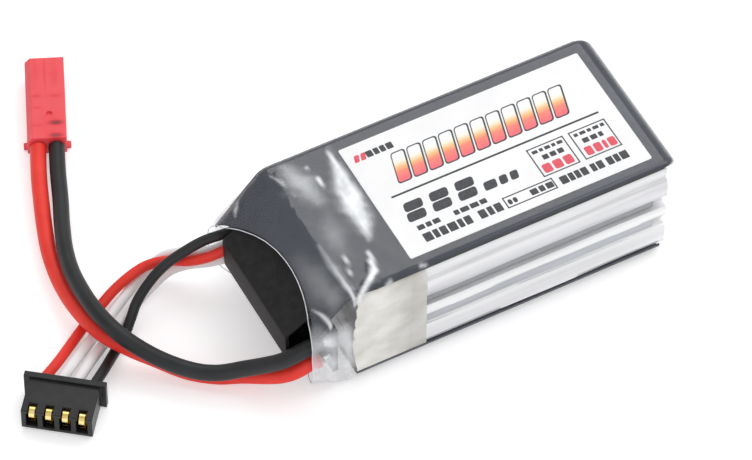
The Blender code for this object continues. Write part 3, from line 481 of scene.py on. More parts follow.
# Each painted highlight is a line of points: x, y, its width there in mm and its strength there.
PAINTED_HIGHLIGHTS = (
    ((-13.5, 12.4, 0.14, 0.7), (-13.9, 9.4, 0.45, 1.0), (-14.3, 6.6, 0.95, 1.3), (-14.7, 3.4, 1.35, 1.6),
     (-15.0, 0.2, 1.45, 1.6), (-15.4, -3.0, 1.00, 1.1), (-16.0, -6.0, 0.40, 0.4)),
    ((-17.2, -7.4, 0.08, 0.4), (-17.6, -9.3, 0.34, 1.3), (-18.1, -11.4, 0.46, 1.5),
     (-19.3, -12.5, 0.36, 1.5), (-21.0, -13.7, 0.28, 1.3), (-22.9, -14.8, 0.20, 0.9)),
    ((-23.2, -3.5, 0.30, 0.15), (-23.3, -8.0, 0.55, 0.40), (-23.1, -12.0, 0.40, 0.65),
     (-22.9, -14.7, 0.22, 0.8)),
    ((-20.9, 11.5, 1.00, 0.30), (-20.1, 8.0, 1.90, 0.52), (-19.3, 4.0, 1.20, 0.30)),
    ((31.9, -11.2, 0.12, 0.3), (31.7, -12.8, 0.26, 0.9), (30.8, -13.9, 0.22, 0.9),
     (29.3, -14.4, 0.12, 0.5)),
    ((32.4, -12.6, 0.10, 0.5), (32.0, -13.6, 0.24, 0.9), (31.4, -14.4, 0.16, 0.7)),
    ((-18.0, 10.6, 0.08, 0.4), (-17.4, 7.6, 0.20, 1.0), (-17.0, 4.4, 0.10, 0.6)),
    ((-20.4, -4.5, 0.08, 0.3), (-20.9, -8.0, 0.22, 0.7), (-21.8, -11.6, 0.12, 0.6)),
    ((-28.0, -10.6, 0.08, 0.3), (-27.4, -12.6, 0.20, 0.8), (-26.8, -14.6, 0.22, 0.8)),
    ((-23.4, 11.6, 0.15, 0.3), (-22.4, 8.6, 0.32, 0.45), (-22.0, 6.0, 0.15, 0.2)),
    ((-26.3, -2.5, 1.00, 0.05), (-25.7, -8.0, 1.60, 0.17), (-25.2, -12.5, 1.30, 0.20)),
    ((-19.2, 1.5, 1.00, 0.05), (-20.2, -3.0, 1.60, 0.20), (-20.9, -7.0, 0.90, 0.05)),
    ((-29.5, 11.0, 0.15, 0.3), (-29.0, 11.8, 0.30, 0.5), (-28.3, 12.5, 0.15, 0.3)),
    ((-12.0, -14.0, 0.08, 0.4), (-11.3, -13.5, 0.26, 0.8), (-10.7, -14.0, 0.08, 0.4)),
    ((-17.5, -14.2, 0.08, 0.4), (-17.0, -13.8, 0.24, 0.7), (-16.6, -14.2, 0.08, 0.4)),
)


def fold_height(x, y):
    """Sum of bell curves across the fold lines, lower at both ends of each, and a fine ripple on the nose.

    A fold lifts a point by height times exp(-(distance / width)^2) times a half wave along its line.
    """
    total = np.zeros_like(x)
    for start, end, width, height in FOLDS:
        distance, share = across_line(x, y, start, end)
        bell = np.exp(-(distance / (width * MM)) ** 2)
        total += height * MM * bell * np.sin(math.pi * (0.12 + 0.76 * share))
    ripple = np.sin(x * 2100 + 3 * np.sin(y * 700)) * np.sin(y * 1300 + 2 * np.sin(x * 900))
    return total + 0.05 * MM * ripple * rise(x, -13.5, -17.5)


def painted_highlight_on_top(x, y):
    """Painted highlights along lines whose points give x, y, a width in mm and a strength. The nearest
    point of the line sets the width and strength of a bell curve across it."""
    ragged = 1 + 0.10 * np.sin(y * 1300 + 2 * np.sin(x * 1100)) + 0.06 * np.sin(x * 2200 + y * 2900)
    total = np.zeros_like(x)
    for line in PAINTED_HIGHLIGHTS:
        last = len(line) - 1
        steps = np.linspace(0, last, 30 * last + 1)
        fine_x, fine_y, width, strength = (np.interp(steps, range(last + 1), column) for column in zip(*line))
        distance = np.hypot(x[..., None] - fine_x * MM, y[..., None] - fine_y * MM)
        nearest = distance.argmin(axis=-1)
        distance = np.take_along_axis(distance, nearest[..., None], axis=-1)[..., 0]
        bell = np.exp(-(distance / (width[nearest] * MM * ragged)) ** 2)
        total = np.maximum(total, strength[nearest] * bell)
    # Painted highlights fade out within 0.6 mm of the label's front edge, except below y = -12.5 mm.
    beside_label = rise(np.abs(x + 12.75 * MM), 0.0, 0.6)
    return np.minimum(total * np.where(y > -12.5 * MM, beside_label, 1.0), 1.0)


# %% [markdown]
# ## Clear film
# The film is a thin clear solid. Its finish lets light through by its alpha, which is the painted highlight
# and haze at each point, so the flat parts stay clear and only the folds and the crumpled flanks turn white.
# A fine bead follows the cut edge at the mouth, and its white is a painted highlight along that edge.

# %% Clear film
FILM_DEPTH, FILM_FLAP, BEAD_RADIUS = 0.18 * MM, 4.0 * MM, 0.075 * MM
CLEAREST, INNER_HIGHLIGHT_AND_HAZE = 0.012, 0.2


def clear_film():
    """Glossy clear film: nearly all light passes, and painted highlights and haze turn it white."""
    material = new_finish("clear_film", (0.90, 0.92, 0.95), 0.12, IOR=1.5)
    uneven = noise(material, 320, (1, 1, 1), 3)
    broken = ramp(material, uneven, [(0.3, (0.72, 0.72, 0.72)), (0.55, (1, 1, 1))])
    highlight_and_haze = arithmetic(material, "MULTIPLY", attribute(material, "highlight_and_haze"), broken)
    highlight_and_haze = arithmetic(material, "ADD", highlight_and_haze, CLEAREST)
    connect(material, arithmetic(material, "MINIMUM", highlight_and_haze, 1.0), "Alpha")
    bump(material, noise(material, 260, (3, 1, 1)), 0.4, 0.0002)
    return material


def film_points(depth):
    """The film's grid with its folds, and the painted highlight and haze at each point.

    On the loose flanks beside the mouth, a product of two slanting waves moves the film and paints light and
    dark stripes of sheen into its haze.
    On the long sides the painted highlights stop at the card's edge, which climbs from the mouth to its full
    height.
    """
    grid = wrap_grid(ring_codes(12, 84, 40), depth, 0.0, FILM_FLAP)
    x, y, z = grid[..., 0], grid[..., 1], grid[..., 2]
    grid[..., 2] += fold_height(x, y) * rise(z, 8.0, 12.0)
    flank = rise(x, -32.5, -31.0) * rise(x, -22.6, -24.0) * rise(np.abs(y), 12.2, 13.4) * rise(z, 16.5, 13.5)
    wave = np.sin(z * 620 + x * 900 + 1.2 * np.sin(x * 500))
    wave *= np.sin(x * 700 - z * 260 + 1.2 * np.sin(z * 400))
    grid[..., 1] += flank * 0.12 * MM * wave * np.sign(y) * rise(z, 0.0, 5.0)
    # Partly painted sheen: the flanks' haze is lighter on the crests of the waves and darker in their
    # troughs, and stronger on the near flank.
    side = flank * (0.46 + 0.26 * np.clip(wave, 0, 1) - 0.20 * np.clip(-wave, 0, 1))
    side *= np.where(y < 0, 1.0, 0.6)
    rear = rise(x, 30.2, 32.2) * 0.05
    card_side = np.minimum(12 * MM + 0.8 * (x + 31 * MM), 18.6 * MM)
    top_only = np.where(np.abs(y) < 13.6 * MM, rise(z, 9.0, 11.0), rise(z - card_side, 0.0, 1.0))
    return grid, np.maximum(painted_highlight_on_top(x, y) * top_only, np.maximum(side, rear))


def make_film():
    """Film as a thin solid, and a bead along its cut edge at the mouth, whose white is a painted highlight.
    """
    material = clear_film()
    outer, highlight_and_haze = film_points(0.0)
    inner, _ = film_points(FILM_DEPTH)
    points, faces = two_sided(outer, inner, True)
    film = add_piece("film", points, faces, material, values={"highlight_and_haze": np.stack([highlight_and_haze, highlight_and_haze * INNER_HIGHLIGHT_AND_HAZE])})
    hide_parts("shrink_sleeve")
    # The bead's white is a painted highlight along the film's cut edge.
    edge = new_finish("film_edge_highlight", (0.86, 0.88, 0.91), 0.25, Alpha=0.8, Coat_Weight=0.6)
    mottle(edge, (0.70, 0.73, 0.78), (0.95, 0.96, 0.98), 700)
    points, faces = tube((outer[0] + inner[0]) / 2, BEAD_RADIUS, 8, True)
    add_piece("film_edge_highlight", points, faces, edge)


make_film()

# %% [markdown]
# ## Card
# The dark card is stiff, and the film presses it into its own form. So it is the same form a little
# deeper, open at the sides, with its cut edge showing as a black line along the long sides.

# %% Card over the cells
CARD_SETBACK, CARD_FLAP = 0.35 * MM, 5.0 * MM
CUT_LINE_RADIUS = 0.21 * MM
REAR_RINGS = 15  # the rings of the rear turn and of the flap, which the cut line leaves out


def make_card():
    """The form at the card's depth, from one long edge over the top to the other."""
    material = new_finish("dark_card", (0.034, 0.040, 0.056), 0.34, Specular_IOR_Level=0.1, Coat_Weight=1.0,
                          Coat_Roughness=0.09)
    mottle(material, (0.026, 0.031, 0.045), (0.042, 0.049, 0.069), 60, (3, 1, 1))
    bump(material, noise(material, 420, (2.5, 1, 1)), 0.35, 0.00012)
    codes = ring_codes(12, 84, 0, math.radians(38))
    grids = []
    for depth in CARD_DEPTHS:
        grid = wrap_grid(codes, depth, CARD_SETBACK, CARD_FLAP)
        grid[..., 2] += 0.8 * fold_height(grid[..., 0], grid[..., 1])
        grids.append(grid)
    points, faces = two_sided(grids[0], grids[1], False)
    card = sharpen(add_piece("cover_card", points, faces, material), 50)
    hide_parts("top_card")
    black = new_finish("card_edge", (0.012, 0.013, 0.016), 0.5)
    mottle(black, (0.008, 0.009, 0.011), (0.022, 0.023, 0.027), 400)
    for side, name in ((0, "card_edge_near"), (-1, "card_edge_far")):
        line = (grids[0][:, side] + grids[1][:, side]) / 2
        points, faces = tube(line[:-REAR_RINGS], CUT_LINE_RADIUS, 8)
        add_piece(name, points, faces, black)


make_card()

# %% [markdown]
# ## Label
# The label is a thin printed sheet with rounded corners under the film. Its print is made of thin
# plates of ink: a row of leaning bars that fade from white to red, a rule, and rows of plain blocks.
# A plate is a rounded rectangle, sheared to lean, so one table of numbers gives every shape of one ink.

# %% Plates of ink
CARD_TOP = HEIGHT - CARD_DEPTHS[0]


def plates(table, bottom, top, corner_steps=4):
    """Thin solids from rows of x0, x1, y0, y1, corner radius and lean, in mm. Each outline point is the
    corner's centre plus radius times the direction, then moved along x by lean times its height."""
    table = np.array(table, dtype=float) * MM
    low_x, high_x, low_y, high_y, radius = (table[:, column, None, None] for column in range(5))
    lean = table[:, 5, None, None] / MM
    corners = np.array((0, 90, 180, 270))[None, :, None]
    turn = np.radians(corners + np.linspace(0, 90, corner_steps)[None, None, :])
    right, above = np.array((1, 0, 0, 1))[None, :, None], np.array((1, 1, 0, 0))[None, :, None]
    x = np.where(right == 1, high_x - radius, low_x + radius) + radius * np.cos(turn)
    y = np.where(above == 1, high_y - radius, low_y + radius) + radius * np.sin(turn)
    x = x + lean * (y - low_y)
    outline = np.stack([x.reshape(len(table), -1), y.reshape(len(table), -1)], axis=-1)
    count = outline.shape[1]
    lower = np.concatenate([outline, np.full_like(outline[..., :1], bottom)], axis=-1)
    upper = np.concatenate([outline, np.full_like(outline[..., :1], top)], axis=-1)
    points = np.concatenate([lower, upper], axis=1)
    edge = np.arange(count)
    following = (edge + 1) % count
    sides = np.stack([edge, following, following + count, edge + count], axis=1)
    starts = np.arange(len(table))[:, None] * 2 * count
    walls = (sides[None] + starts[:, None]).reshape(-1, 4)
    return points, [*walls, *(edge[::-1] + starts), *(edge + count + starts)]


def dashes(start, end, low, high, pattern, radius=0.12, lean=0.0):
    """A row of blocks from start to end whose widths follow a repeating pattern of block and gap."""
    widths = np.array(pattern, dtype=float)
    widths *= (end - start) / widths.sum()
    edges = start + np.concatenate([[0.0], np.cumsum(widths)])
    count = len(widths) // 2 + len(widths) % 2
    rows = np.zeros((count, 6))
    rows[:, 0], rows[:, 1] = edges[:-1:2][:count], edges[1::2][:count]
    rows[:, 2:] = (low, high, radius, lean)
    return rows


def frame_of(low_x, high_x, low_y, high_y, line):
    """Four plates that outline a box."""
    sides = ((low_x, high_x, high_y - line, high_y), (low_x, high_x, low_y, low_y + line),
             (low_x, low_x + line, low_y, high_y), (high_x - line, high_x, low_y, high_y))
    return np.array([(*side, 0.05, 0.0) for side in sides])


def add_print(name, tables, bottom, top, material):
    """One ink's plates, as a piece of the label."""
    points, faces = plates(np.concatenate(tables), bottom, top)
    add_piece(name, points, faces, material, smooth=False)


# %% Printed label
SHEET = (-12.25, 28.35, -11.75, 11.15, 0.25, 0.0)
SHEET_TOP = CARD_TOP + 0.08 * MM
INK_BOTTOM = SHEET_TOP - 0.02 * MM
BLOCK_TOP, OUTLINE_TOP, BAR_TOP = SHEET_TOP + 0.015 * MM, SHEET_TOP + 0.02 * MM, SHEET_TOP + 0.035 * MM
LEAN = 0.27
BAR_COUNT, BAR_PITCH = 11, 2.66
BARS = np.tile((-7.1, -5.0, 1.5, 6.9, 0.4, LEAN), (BAR_COUNT, 1))
BARS[:, :2] += BAR_PITCH * np.arange(BAR_COUNT)[:, None]


def printed_white():
    """Satin white sheet with a faint tooth."""
    material = new_finish("label_white", (0.88, 0.88, 0.89), 0.32, Coat_Weight=0.35, Coat_Roughness=0.12)
    mottle(material, (0.85, 0.85, 0.86), (0.90, 0.90, 0.905), 120)
    bump(material, noise(material, 900), 0.12, 0.00003)
    return material


def fading_ink():
    """Ink that fades along Y, white to orange to red, as a ramp on the object's own Y coordinate."""
    material = new_finish("fading_ink", (0.9, 0.2, 0.2), 0.35, Coat_Weight=0.35, Coat_Roughness=0.12)
    share = arithmetic(material, "DIVIDE", own_place(material)["Y"], 7.5 * MM)
    fade = ramp(material, share, [(0.28, (0.86, 0.09, 0.12)), (0.45, (0.90, 0.18, 0.10)),
                                  (0.56, (0.93, 0.48, 0.16)), (0.68, (0.92, 0.86, 0.70)),
                                  (0.76, (0.88, 0.88, 0.89))])
    connect(material, fade, "Base Color")
    return material


def plain_ink(name, dark, light):
    """One ink, slightly uneven."""
    material = new_finish(name, light, 0.4, Specular_IOR_Level=0.3)
    mottle(material, dark, light, 1500)
    return material


def make_label():
    """The sheet, then each ink's plates a few hundredths of a millimetre above the last."""
    points, faces = plates([SHEET], CARD_TOP + 0.01 * MM, SHEET_TOP, 8)
    sheet = sharpen(add_piece("label_sheet", points, faces, printed_white()), 30)
    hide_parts("label")
    grey = plain_ink("grey_ink", (0.024, 0.026, 0.031), (0.044, 0.047, 0.055))
    red = plain_ink("red_ink", (0.74, 0.06, 0.10), (0.80, 0.09, 0.13))
    blocks = [
        dashes(-8.9, -4.5, 7.9, 9.1, (5, 1, 4, 1, 4, 1, 5), 0.15),
        np.array(((-9.4, 25.6, -0.54, -0.20, 0.05, 0.0),)),
        dashes(-9.3, 2.3, -5.8, -4.1, (10, 4, 10, 4, 10), 0.5, 0.2),
        dashes(-8.9, 2.7, -3.9, -2.2, (10, 4, 10, 4, 10), 0.5, 0.2),
        dashes(3.5, 9.2, -5.8, -4.2, (8, 2, 5, 2, 5), 0.35, 0.2),
        dashes(-8.7, -5.0, -7.7, -6.8, (4, 1, 3, 1, 4), 0.1),
        dashes(-2.6, 2.8, -7.7, -6.8, (3, 1, 5, 1, 5, 1, 4), 0.1),
        dashes(-8.7, -0.8, -10.1, -8.5, (5, 1, 3, 1, 4, 1, 5, 1, 3, 1, 4), 0.1),
        dashes(0.5, 4.3, -10.1, -8.5, (4, 1, 3, 1, 4), 0.1),
        frame_of(4.9, 13.3, -10.2, -8.05, 0.20), dashes(5.4, 6.9, -9.7, -8.7, (3, 1, 3), 0.3),
        dashes(9.2, 13.0, -9.7, -8.6, (4, 1, 3, 1, 4), 0.1),
        dashes(14.2, 25.6, -10.0, -8.5, (6, 1, 4, 1, 4, 1, 5, 3, 4, 1, 5, 3, 5, 1, 4, 1, 6), 0.1),
        frame_of(12.4, 18.6, -7.5, -1.8, 0.20), frame_of(19.5, 25.7, -7.5, -1.8, 0.20),
        dashes(13.0, 18.1, -3.0, -2.4, (3, 1, 2, 1, 3, 1, 2, 1, 3), 0.06),
        dashes(20.1, 25.2, -3.0, -2.4, (2, 1, 3, 1, 2, 1, 3, 1, 2), 0.06),
        dashes(14.0, 17.5, -4.6, -3.7, (3, 1, 3, 1, 3), 0.08),
        dashes(20.8, 24.2, -4.6, -3.7, (3, 1, 3, 1, 2), 0.08),
    ]
    reds = [dashes(-11.1, -9.2, 7.8, 9.1, (3, 1, 3), 0.2, 0.3),
            dashes(13.0, 18.0, -7.0, -5.3, (4, 1, 4, 1, 4), 0.3),
            dashes(20.2, 25.3, -7.0, -5.3, (4, 1, 4, 1, 2, 1, 4), 0.3)]
    add_print("print_blocks", blocks, INK_BOTTOM, BLOCK_TOP, grey)
    add_print("print_outlines", [BARS + (-0.16, 0.16, -0.16, 0.16, 0.1, 0.0)], INK_BOTTOM, OUTLINE_TOP, grey)
    add_print("print_bars", [BARS + (0.06, -0.06, 0.06, -0.06, 0.0, 0.0)], SHEET_TOP, BAR_TOP, fading_ink())
    add_print("print_red", reds, INK_BOTTOM, BLOCK_TOP, red)


make_label()

# %% [markdown]
# ## Cells
# A pouch cell is a sheet of laminate deep-drawn into a cup, sealed at its sides, with each side seal
# folded up against the cup. From the side one sees bright folded strips with darker slits between, and the
# shade in each slit is painted on a dark strip set into it.

# %% Extrusions along the pack
def extrude(outline, places, waviness=0.0):
    """Carry an outline of y and z along x. A slow wave of the given height runs along each edge."""
    x, flat_y, flat_z = places[:, None], outline[None, :, 0], outline[None, :, 1]
    y = flat_y + waviness * np.sin(x * 210 + flat_z * 2500) * np.sign(flat_y)
    z = flat_z + waviness * np.sin(x * 330 + flat_y * 900)
    return np.stack([x + 0 * y, y, z], axis=-1), rod_faces(len(places), len(outline))


def both_sides(half):
    """An outline from its half with positive y, given from the bottom up."""
    half = np.array(half) * MM
    return np.concatenate([half, half[::-1] * (-1, 1)])


def laminate():
    """Silver laminate: a bright satin skin with a faint grain and long shallow dents, and long light and dark
    streaks of colour that are painted reflections.
    """
    material = new_finish("laminate", (0.80, 0.80, 0.815), 0.34, Metallic=0.35, Coat_Weight=0.8,
                          Coat_Roughness=0.10)
    # Painted reflection: the colour drifts in long light and dark streaks along the pack.
    mottle(material, (0.60, 0.60, 0.63), (0.90, 0.90, 0.905), 130, (14, 1, 0.7), 0.30, 0.60)
    bump(material, noise(material, 160, (8, 1, 1)), 0.5, 0.0003)
    bump(material, noise(material, 1800), 0.10, 0.00003)
    return material


CELL_PROFILES = {
    "cell_bottom": ((11.6, 1.25), (12.6, 1.45), (13.35, 2.0), (13.9, 2.4), (14.0, 3.4), (13.95, 5.6),
                    (13.8, 6.15), (13.45, 6.25), (13.35, 6.5), (12.9, 6.6), (12.4, 6.75), (11.0, 6.8)),
    "cell_middle": ((11.0, 7.0), (12.5, 7.05), (13.2, 7.3), (13.5, 8.3), (13.6, 8.55), (13.9, 8.75),
                    (14.0, 9.3), (13.95, 10.3), (13.75, 10.65), (13.2, 10.7), (12.6, 10.8), (12.5, 12.2),
                    (11.0, 12.4)),
    "cell_top": ((11.0, 12.7), (12.3, 12.75), (12.9, 13.0), (13.75, 13.1), (14.0, 13.4), (14.0, 15.4),
                 (13.9, 16.5), (13.7, 16.85), (13.45, 16.95), (13.4, 17.6), (13.5, 18.6), (13.2, 19.4),
                 (12.4, 19.75)),
}
CELL_START, CELL_END = -22.0 * MM, 30.0 * MM
# Painted shade: a dark strip stands in each gap between two cells, where the shade falls.
SLITS = (("painted_shade_upper_slit", 10.9, 12.95, 13.35, 1.0), ("painted_shade_lower_slit", 6.3, 8.45, 13.55, 2.2))
PAINTED_SLIT_SHADE, PAINTED_SLIT_DARK, PAINTED_SLIT_LIGHT = np.array(((0.22, 0.23, 0.25), (0.15, 0.155, 0.17), (0.26, 0.27, 0.29)))


def make_cells():
    """Each cell's section carried along the pack, and a strip of painted shade in the slit between two cells.

    A slit has a name, its lowest and highest z, how far out it reaches, and how many times lighter it is.
    """
    material = laminate()
    places = np.linspace(CELL_START, CELL_END, 80)
    for name, half in CELL_PROFILES.items():
        points, faces = extrude(both_sides(half), places, 0.05 * MM)
        cell = sharpen(add_piece(name.replace("cell", "pouch"), points, faces, material), 50)
        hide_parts(name)
    for name, low, high, reach, tone in SLITS:
        shade = new_finish("shade_of_" + name, PAINTED_SLIT_SHADE * tone, 0.4, Coat_Weight=0.6, Coat_Roughness=0.15)
        mottle(shade, PAINTED_SLIT_DARK * tone, PAINTED_SLIT_LIGHT * tone, 120, (8, 1, 1))
        half = ((11.5, low), (reach - 0.2, low), (reach, low + 0.3),
                (reach, high - 0.3), (reach - 0.2, high), (11.5, high))
        points, faces = extrude(both_sides(half), places[2:-3], 0.03 * MM)
        sharpen(add_piece(name, points, faces, shade), 50)


make_cells()

# %% [markdown]
# ## Fibre tape
# Cream tape with glass fibres binds the stack before the film goes on. It is one thin band with a
# rounded section, and its front edge wavers a little, as a torn or hand-cut edge does. Noise stretched
# along the band draws the fibres.

# %% Fibre tape
TAPE_HALF_WIDTH, TAPE_HALF_HEIGHT, TAPE_MIDDLE = 14.2 * MM, 9.15 * MM, 10.65 * MM
TAPE_RADIUS, TAPE_THICKNESS = 1.3 * MM, 0.15 * MM
TAPE_FRONT, TAPE_REAR = -23.75 * MM, -10.75 * MM
FADE_START, FADE_LENGTH = -18.0 * MM, 7.0 * MM


def make_tape():
    """Two rings of the band at each x: y = a (w - r) + b r, z = middle + c (h - r) + d r, with a to d
    the ring's codes. The band fades slightly towards its rear edge, where its glue has let go."""
    material = new_finish("fibre_tape", (0.80, 0.775, 0.71), 0.62, Coat_Weight=0.45, Coat_Roughness=0.15)
    mottle(material, (0.64, 0.615, 0.55), (0.86, 0.85, 0.82), 1100, (5, 2, 3), 0.25, 0.65)
    bump(material, noise(material, 2600, (1, 14, 40)), 0.5, 0.00010)
    bump(material, noise(material, 150), 0.5, 0.0003)
    past = arithmetic(material, "SUBTRACT", own_place(material)["X"], FADE_START)
    fade = arithmetic(material, "DIVIDE", past, FADE_LENGTH)
    ragged = arithmetic(material, "MULTIPLY", noise(material, 500, (1, 6, 6)), 0.5)
    loose = arithmetic(material, "ADD", fade, ragged)
    connect(material, ramp(material, loose, [(0.35, (1, 1, 1)), (0.95, (0.66, 0.66, 0.66))]), "Alpha")
    codes = ring_codes(8, 30, 40)
    share = np.linspace(0, 1, 26)[:, None]
    grids = []
    for depth in (0.0, TAPE_THICKNESS):
        y = codes[:, 0] * (TAPE_HALF_WIDTH - depth - TAPE_RADIUS) + codes[:, 1] * TAPE_RADIUS
        z = TAPE_MIDDLE + codes[:, 2] * (TAPE_HALF_HEIGHT - depth - TAPE_RADIUS) + codes[:, 3] * TAPE_RADIUS
        front = TAPE_FRONT + 1.5 * MM * rise(z, 2.0, 19.0)
        front += 0.10 * MM * np.sin(z * 2500) + 0.06 * MM * np.sin(z * 5300 + 1)
        front = np.maximum(front, -23.4 * MM + 0.135 * (TAPE_MIDDLE - z))
        x = front + share * (TAPE_REAR - front)
        swell = 0.06 * MM * np.sin(z * 900)
        grids.append(np.stack([x, y + swell * np.sign(y) + 0 * x, z + 0 * x], axis=-1))
    points, faces = two_sided(grids[0], grids[1], True)
    tape = sharpen(add_piece("wound_tape", points, faces, material), 50)
    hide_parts("fibre_tape")


make_tape()

# %% [markdown]
# ## Finishes for the pieces that keep their shape
# The plugs, the folded sheet, tabs and joints already have the right shape. Tabs and joints keep their
# own meshes. Where edges would catch the light, a copy of the mesh is cleaned and its edges rounded.

# %% Rounded copies
def rounded_copy(node_name, piece_name, material, width, body="pack"):
    """A merged copy of a piece as loaded, with flat faces rejoined and its edges rounded."""
    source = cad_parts[node_name]
    mesh = source.data.copy()
    work = bmesh.new()
    work.from_mesh(mesh)
    bmesh.ops.remove_doubles(work, verts=work.verts, dist=1e-6)
    bmesh.ops.dissolve_limit(work, angle_limit=math.radians(3), verts=work.verts, edges=work.edges)
    work.to_mesh(mesh)
    work.free()
    mesh.name = piece_name
    mesh.materials.clear()
    mesh.materials.append(material)
    piece = bpy.data.objects.new(piece_name, mesh)
    bpy.context.scene.collection.objects.link(piece)
    rounding = piece.modifiers.new("rounding", "BEVEL")
    rounding.width = width
    rounding.segments = 3
    rounding.limit_method = "ANGLE"
    rounding.angle_limit = math.radians(30)
    rounding.harden_normals = True
    mesh.polygons.foreach_set("use_smooth", np.ones(len(mesh.polygons), dtype=bool))
    mesh.set_sharp_from_angle(angle=math.radians(40))
    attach(piece, body)
    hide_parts(node_name)
    return piece


# %% [markdown]
# ## Plugs
# The power plug is moulded in clear red plastic, so the crimps inside show as soft dark spots. They are
# painted by the finish, as a sum of round hills over the plug's own length and width. The flanged plug
# is plain black plastic with the fine grain that a mould leaves.

# %% Plugs
RED_PLUG_PLACE, RED_PLUG_TURN = (-44.4 * MM, 45.2 * MM, 0.0), math.radians(-24.2)
RED_ROUNDING, FINE_ROUNDING, PAD_ROUNDING = 0.22 * MM, 0.10 * MM, 0.16 * MM
SHADOWS_IN_PLUG = (
    (1.50, 3.0, 1.0, 0.42, 0.80), (1.45, 0.5, 0.95, 0.45, 0.75), (-1.5, 8.4, 0.8, 0.35, 0.28),
    (1.5, 8.3, 0.8, 0.35, 0.28), (-1.3, 6.1, 0.55, 0.3, 0.22), (0.0, 13.0, 0.16, 3.0, 0.20),
    (-1.5, 2.6, 0.9, 0.3, 0.20), (1.5, 13.0, 0.5, 2.4, 0.14), (-1.5, 13.0, 0.5, 2.4, 0.14),
)


def red_moulding():
    """Clear red plastic: light spreads inside it, and the crimped metal within shows as soft darker spots.

    A spot's shade is strength / (1 + d^4), with d the distance from its centre in spot sizes. A row of
    the table gives its centre across and along the plug, its size each way, and its strength.
    """
    material = new_finish("red_moulding", (0.86, 0.055, 0.075), 0.30, Specular_IOR_Level=0.25,
                          Subsurface_Weight=0.35, Subsurface_Radius=(1.0, 0.25, 0.2),
                          Subsurface_Scale=0.0012)
    place = own_place(material, RED_PLUG_PLACE, RED_PLUG_TURN)
    total = arithmetic(material, "MULTIPLY", noise(material, 420), 0.30)
    for across, along, wide, long, strength in SHADOWS_IN_PLUG:
        squares = []
        for axis, centre, size in (("X", across, wide), ("Y", along, long)):
            offset = arithmetic(material, "SUBTRACT", place[axis], centre * MM)
            offset = arithmetic(material, "DIVIDE", offset, size * MM)
            squares.append(arithmetic(material, "MULTIPLY", offset, offset))
        spread = arithmetic(material, "POWER", arithmetic(material, "ADD", *squares), 2.0)
        shade = arithmetic(material, "DIVIDE", strength, arithmetic(material, "ADD", spread, 1.0))
        total = arithmetic(material, "ADD", total, shade)
    tones = ramp(material, total, [(0.05, (0.88, 0.105, 0.12)), (0.35, (0.82, 0.060, 0.078)),
                                   (0.65, (0.62, 0.040, 0.05)), (1.0, (0.24, 0.050, 0.045))])
    connect(material, tones, "Base Color")
    bump(material, noise(material, 900), 0.10, 0.00005)
    return material


def moulded(name, dark, light, roughness):
    """Moulded plastic with a fine spark-eroded grain."""
    material = new_finish(name, light, roughness, Specular_IOR_Level=0.3)
    mottle(material, dark, light, 500)
    bump(material, noise(material, 5200), 0.35, 0.00004)
    return material


def metal(name, dark, light, roughness, stretch=(1, 1, 1)):
    """Bare or plated metal with fine drawn lines."""
    material = new_finish(name, light, roughness, Metallic=1.0)
    mottle(material, dark, light, 900, stretch)
    bump(material, noise(material, 3000, stretch), 0.15, 0.00003)
    return material


RED_MOULDING = red_moulding()
housing = rounded_copy("power_plug_housing", "red_plug", RED_MOULDING, RED_ROUNDING)
latch = rounded_copy("power_plug_latch", "red_latch", RED_MOULDING, FINE_ROUNDING,
                     "latch_arm")
BLACK_MOULDING = moulded("black_moulding", (0.006, 0.006, 0.007), (0.012, 0.012, 0.013), 0.36)
black_plug = rounded_copy("balance_plug_housing", "black_plug", BLACK_MOULDING, FINE_ROUNDING)

# %% [markdown]
# ## Contacts of the flanged plug
# In each window of the flanged plug a gold-plated strip bends up and back. One bent path serves for all
# four: a flat section is carried along it, and the result is moved by the pitch and turned with the plug.

# %% Contacts of the flanged plug
CONTACT_PITCH = 2.5 * MM
STRIP_SECTION = np.array(((-0.42, -0.07), (0.42, -0.07), (0.42, 0.07), (-0.42, 0.07))) * MM
BLADE = ((0, -6.3, 1.5), (0, -4.4, 1.45), (0, -2.65, 1.5), (0, -2.45, 2.5), (0, -2.65, 3.5),
         (0, -4.9, 3.55), (0, -5.35, 3.95), (0, -6.0, 4.32), (0, -6.55, 4.18), (0, -6.86, 3.7),
         (0, -6.86, 3.2), (0, -6.7, 2.8))
FLANGED_PLUG_PLACE, FLANGED_PLUG_TURN = (-61.6 * MM, 3.3 * MM), math.radians(-38.0)


def make_blades():
    """A point of a strip is path + a across + b square, with a and b the section's numbers and square
    the direction at right angles to both the path and the strip's width."""
    gold = metal("gold_plate", (0.86, 0.62, 0.18), (0.98, 0.80, 0.36), 0.20)
    path = smooth_route(BLADE, 0.12 * MM)
    run = np.gradient(path, axis=0)
    run /= np.linalg.norm(run, axis=1, keepdims=True)
    square = np.cross(run, (1.0, 0.0, 0.0))
    wide, thick = STRIP_SECTION[None, :, :1], STRIP_SECTION[None, :, 1:]
    strip = path[:, None] + wide * (1.0, 0.0, 0.0) + thick * square[:, None]
    faces = rod_faces(len(path), len(STRIP_SECTION))
    cosine, sine = math.cos(FLANGED_PLUG_TURN), math.sin(FLANGED_PLUG_TURN)
    blades = []
    for way in range(4):
        across, along = strip[..., 0] + (way - 1.5) * CONTACT_PITCH, strip[..., 1]
        points = np.stack([FLANGED_PLUG_PLACE[0] + across * cosine - along * sine,
                           FLANGED_PLUG_PLACE[1] + across * sine + along * cosine, strip[..., 2]], axis=-1)
        blade = sharpen(add_piece(f"contact_blade_{way + 1}", points, faces, gold), 40)
        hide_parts(f"balance_contact_{way + 1}")
        blades.append(blade)
    return blades


blades = make_blades()

# %% [markdown]
# ## Folded fibre sheet
# A sheet of pressed black fibre is folded over the terminals and fills the mouth of the film. Its shape
# comes with the model, so it gets rounded folds and a dull finish with a soft tooth.

